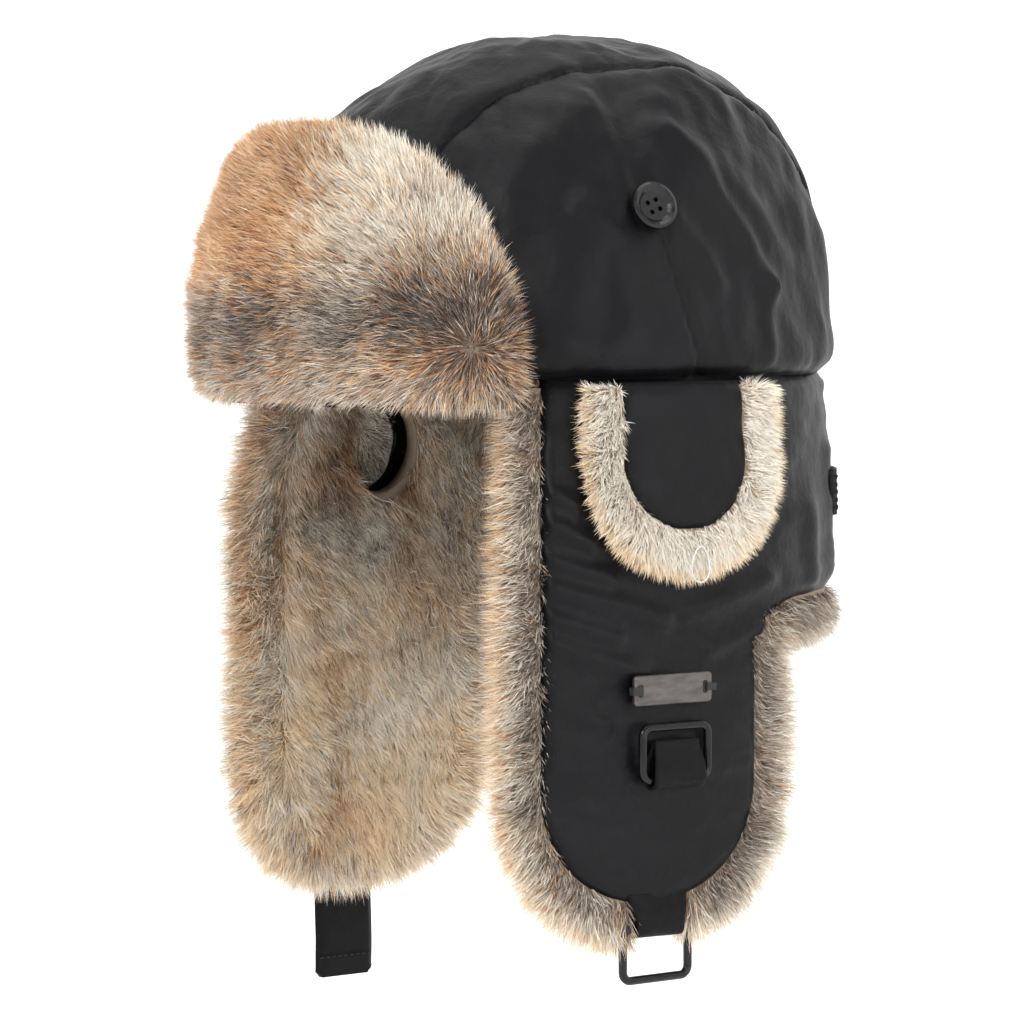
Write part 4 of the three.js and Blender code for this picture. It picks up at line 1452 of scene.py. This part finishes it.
def soft_light(name, place, target, size, power, tint=(1, 1, 1)):
    data = bpy.data.lights.new(name, "AREA")
    data.shape = "RECTANGLE"
    data.size, data.size_y = size
    data.energy = power
    data.color = tint
    made = bpy.data.objects.new(name, data)
    made.location = place
    made.rotation_mode = "QUATERNION"
    made.rotation_quaternion = (Vector(target) - Vector(place)).to_track_quat("-Z", "Y")
    bpy.context.scene.collection.objects.link(made)


def make_stage():
    scene = bpy.context.scene
    toward = Vector((math.sin(CAMERA_BEARING), -math.cos(CAMERA_BEARING), 0))
    aside = Vector((-toward.y, toward.x, 0))
    # A round room: a floor that curves up into its wall.
    floor_z = -0.42
    curve = [(3 + 1.2 * math.sin(a), floor_z + 1.2 - 1.2 * math.cos(a)) for a in np.linspace(0, math.pi / 2, 12)]
    profile = np.array([(0.01, floor_z), (1.5, floor_z), *curve, (4.2, 4.0)])
    turn = np.linspace(0, 2 * math.pi, 97)
    radius, height = profile.T
    grid = np.stack([np.outer(radius, np.cos(turn)), np.outer(radius, np.sin(turn)), np.outer(height, 1 + 0 * turn)], -1)
    sweep = make_object("studio_sweep", grid, grid_faces(*grid.shape[:2]), weld=False)
    paper = Shader("studio_paper", (0.9, 0.9, 0.9), 0.9, Emission_Color=(1, 1, 1, 1), Emission_Strength=0.4)
    sweep.data.materials.append(paper.material)

    world = bpy.data.worlds.new("studio")
    world.use_nodes = True
    world.node_tree.nodes["Background"].inputs["Color"].default_value = (1, 1, 1, 1)
    world.node_tree.nodes["Background"].inputs["Strength"].default_value = 0.75
    scene.world = world

    middle = (0, 0, -0.05)
    front = toward * 1.4
    left = -aside
    soft_light("key", front + left * 1.2 + Vector((0, 0, 1.3)), middle, (0.8, 0.8), 26)
    soft_light("fill", front - left * 1.5 + Vector((0, 0, 0.3)), middle, (1.2, 1.2), 10)
    soft_light("top", (0, 0, 1.6), middle, (1.4, 1.4), 16)

    data = bpy.data.cameras.new("camera")
    data.lens = LENS
    data.sensor_width = 36
    data.clip_start, data.clip_end = 0.05, 20
    camera = bpy.data.objects.new("camera", data)
    rise = math.cos(CAMERA_RISE)
    camera.location = toward * CAMERA_AWAY * rise + Vector((0, 0, CAMERA_AWAY * math.sin(CAMERA_RISE)))
    look = aside * LOOK_ASIDE + Vector((0, 0, LOOK_DOWN))
    camera.rotation_mode = "QUATERNION"
    camera.rotation_quaternion = (look - camera.location).to_track_quat("-Z", "Y")
    scene.collection.objects.link(camera)
    scene.camera = camera
    scene.view_settings.view_transform = "Standard"
    scene.view_settings.exposure = -0.28


# ---- Operators and panel ----
def operator(label, about, work):
    """An operator class that does one group of pieces."""
    idname = "trapper_hat." + label.lower().replace(" ", "_")

    def execute(self, context):
        work()
        return {"FINISHED"}

    name = "HAT_OT_" + label.lower().replace(" ", "_")
    members = {"bl_idname": idname, "bl_label": label, "__doc__": about, "execute": execute}
    return type(name, (bpy.types.Operator,), members)


OPERATORS = [
    operator("Materials", "Mix the cloth, hair and metal finishes", make_materials),
    operator("Crown", "Sew the crown's three panels", make_crown),
    operator("Crown lining", "Quilt the lining inside the crown", make_crown_lining),
    operator("Side cloths", "Sew the band's and the ear flaps' outer cloth", make_side_cloths),
    operator("Flap furs", "Grow the ear flaps' fur", make_flap_furs),
    operator("Band furs", "Grow the fur inside the band and round the face", make_band_furs),
    operator("Nape fur", "Grow the fur along the nape's hem", make_nape_fur),
    operator("Ear covers", "Sew the ear covers and grow their fur", make_ear_covers),
    operator("Visor", "Sew the visor and grow its fur", make_visor),
    operator("Rings", "Bend the two wire rings", make_rings),
    operator("Thread loops", "Twist the ear covers' thread loops", make_loops),
    operator("Tabs", "Fold the two ring tabs", make_tabs),
    operator("Chin strap", "Weave and sew the chin strap", make_chin_strap),
    operator("Adjuster", "Weave and sew the adjuster at the nape", make_adjuster),
    operator("Plate", "Stamp the blank plate", make_plate),
    operator("Small fittings", "Finish the buttons, stitches, tapes and sweatband", dress_nodes),
    operator("Stage", "Set up floor, lights and camera", make_stage),
]


class HAT_PT_panel(bpy.types.Panel):
    """Lists the hat's operators and settings"""

    bl_label = "Trapper Hat"
    bl_idname = "HAT_PT_panel"
    bl_space_type = "VIEW_3D"
    bl_region_type = "UI"
    bl_category = "Trapper Hat"

    def draw(self, context):
        for made in OPERATORS:
            self.layout.operator(made.bl_idname)
        for group in (context.scene.hat_sizes, context.scene.hat_colours):
            for name in group.__annotations__:
                self.layout.prop(group, name)


CLASSES = [HatSizes, HatColours, *OPERATORS, HAT_PT_panel]


def register():
    for made in CLASSES:
        bpy.utils.register_class(made)
    bpy.types.Scene.hat_sizes = PointerProperty(type=HatSizes)
    bpy.types.Scene.hat_colours = PointerProperty(type=HatColours)


def unregister():
    del bpy.types.Scene.hat_sizes
    del bpy.types.Scene.hat_colours
    for made in reversed(CLASSES):
        bpy.utils.unregister_class(made)


def main():
    register()
    for made in OPERATORS:
        group, name = made.bl_idname.split(".")
        getattr(getattr(bpy.ops, group), name)()
    put_away_lock()


if __name__ == "__main__":
    main()
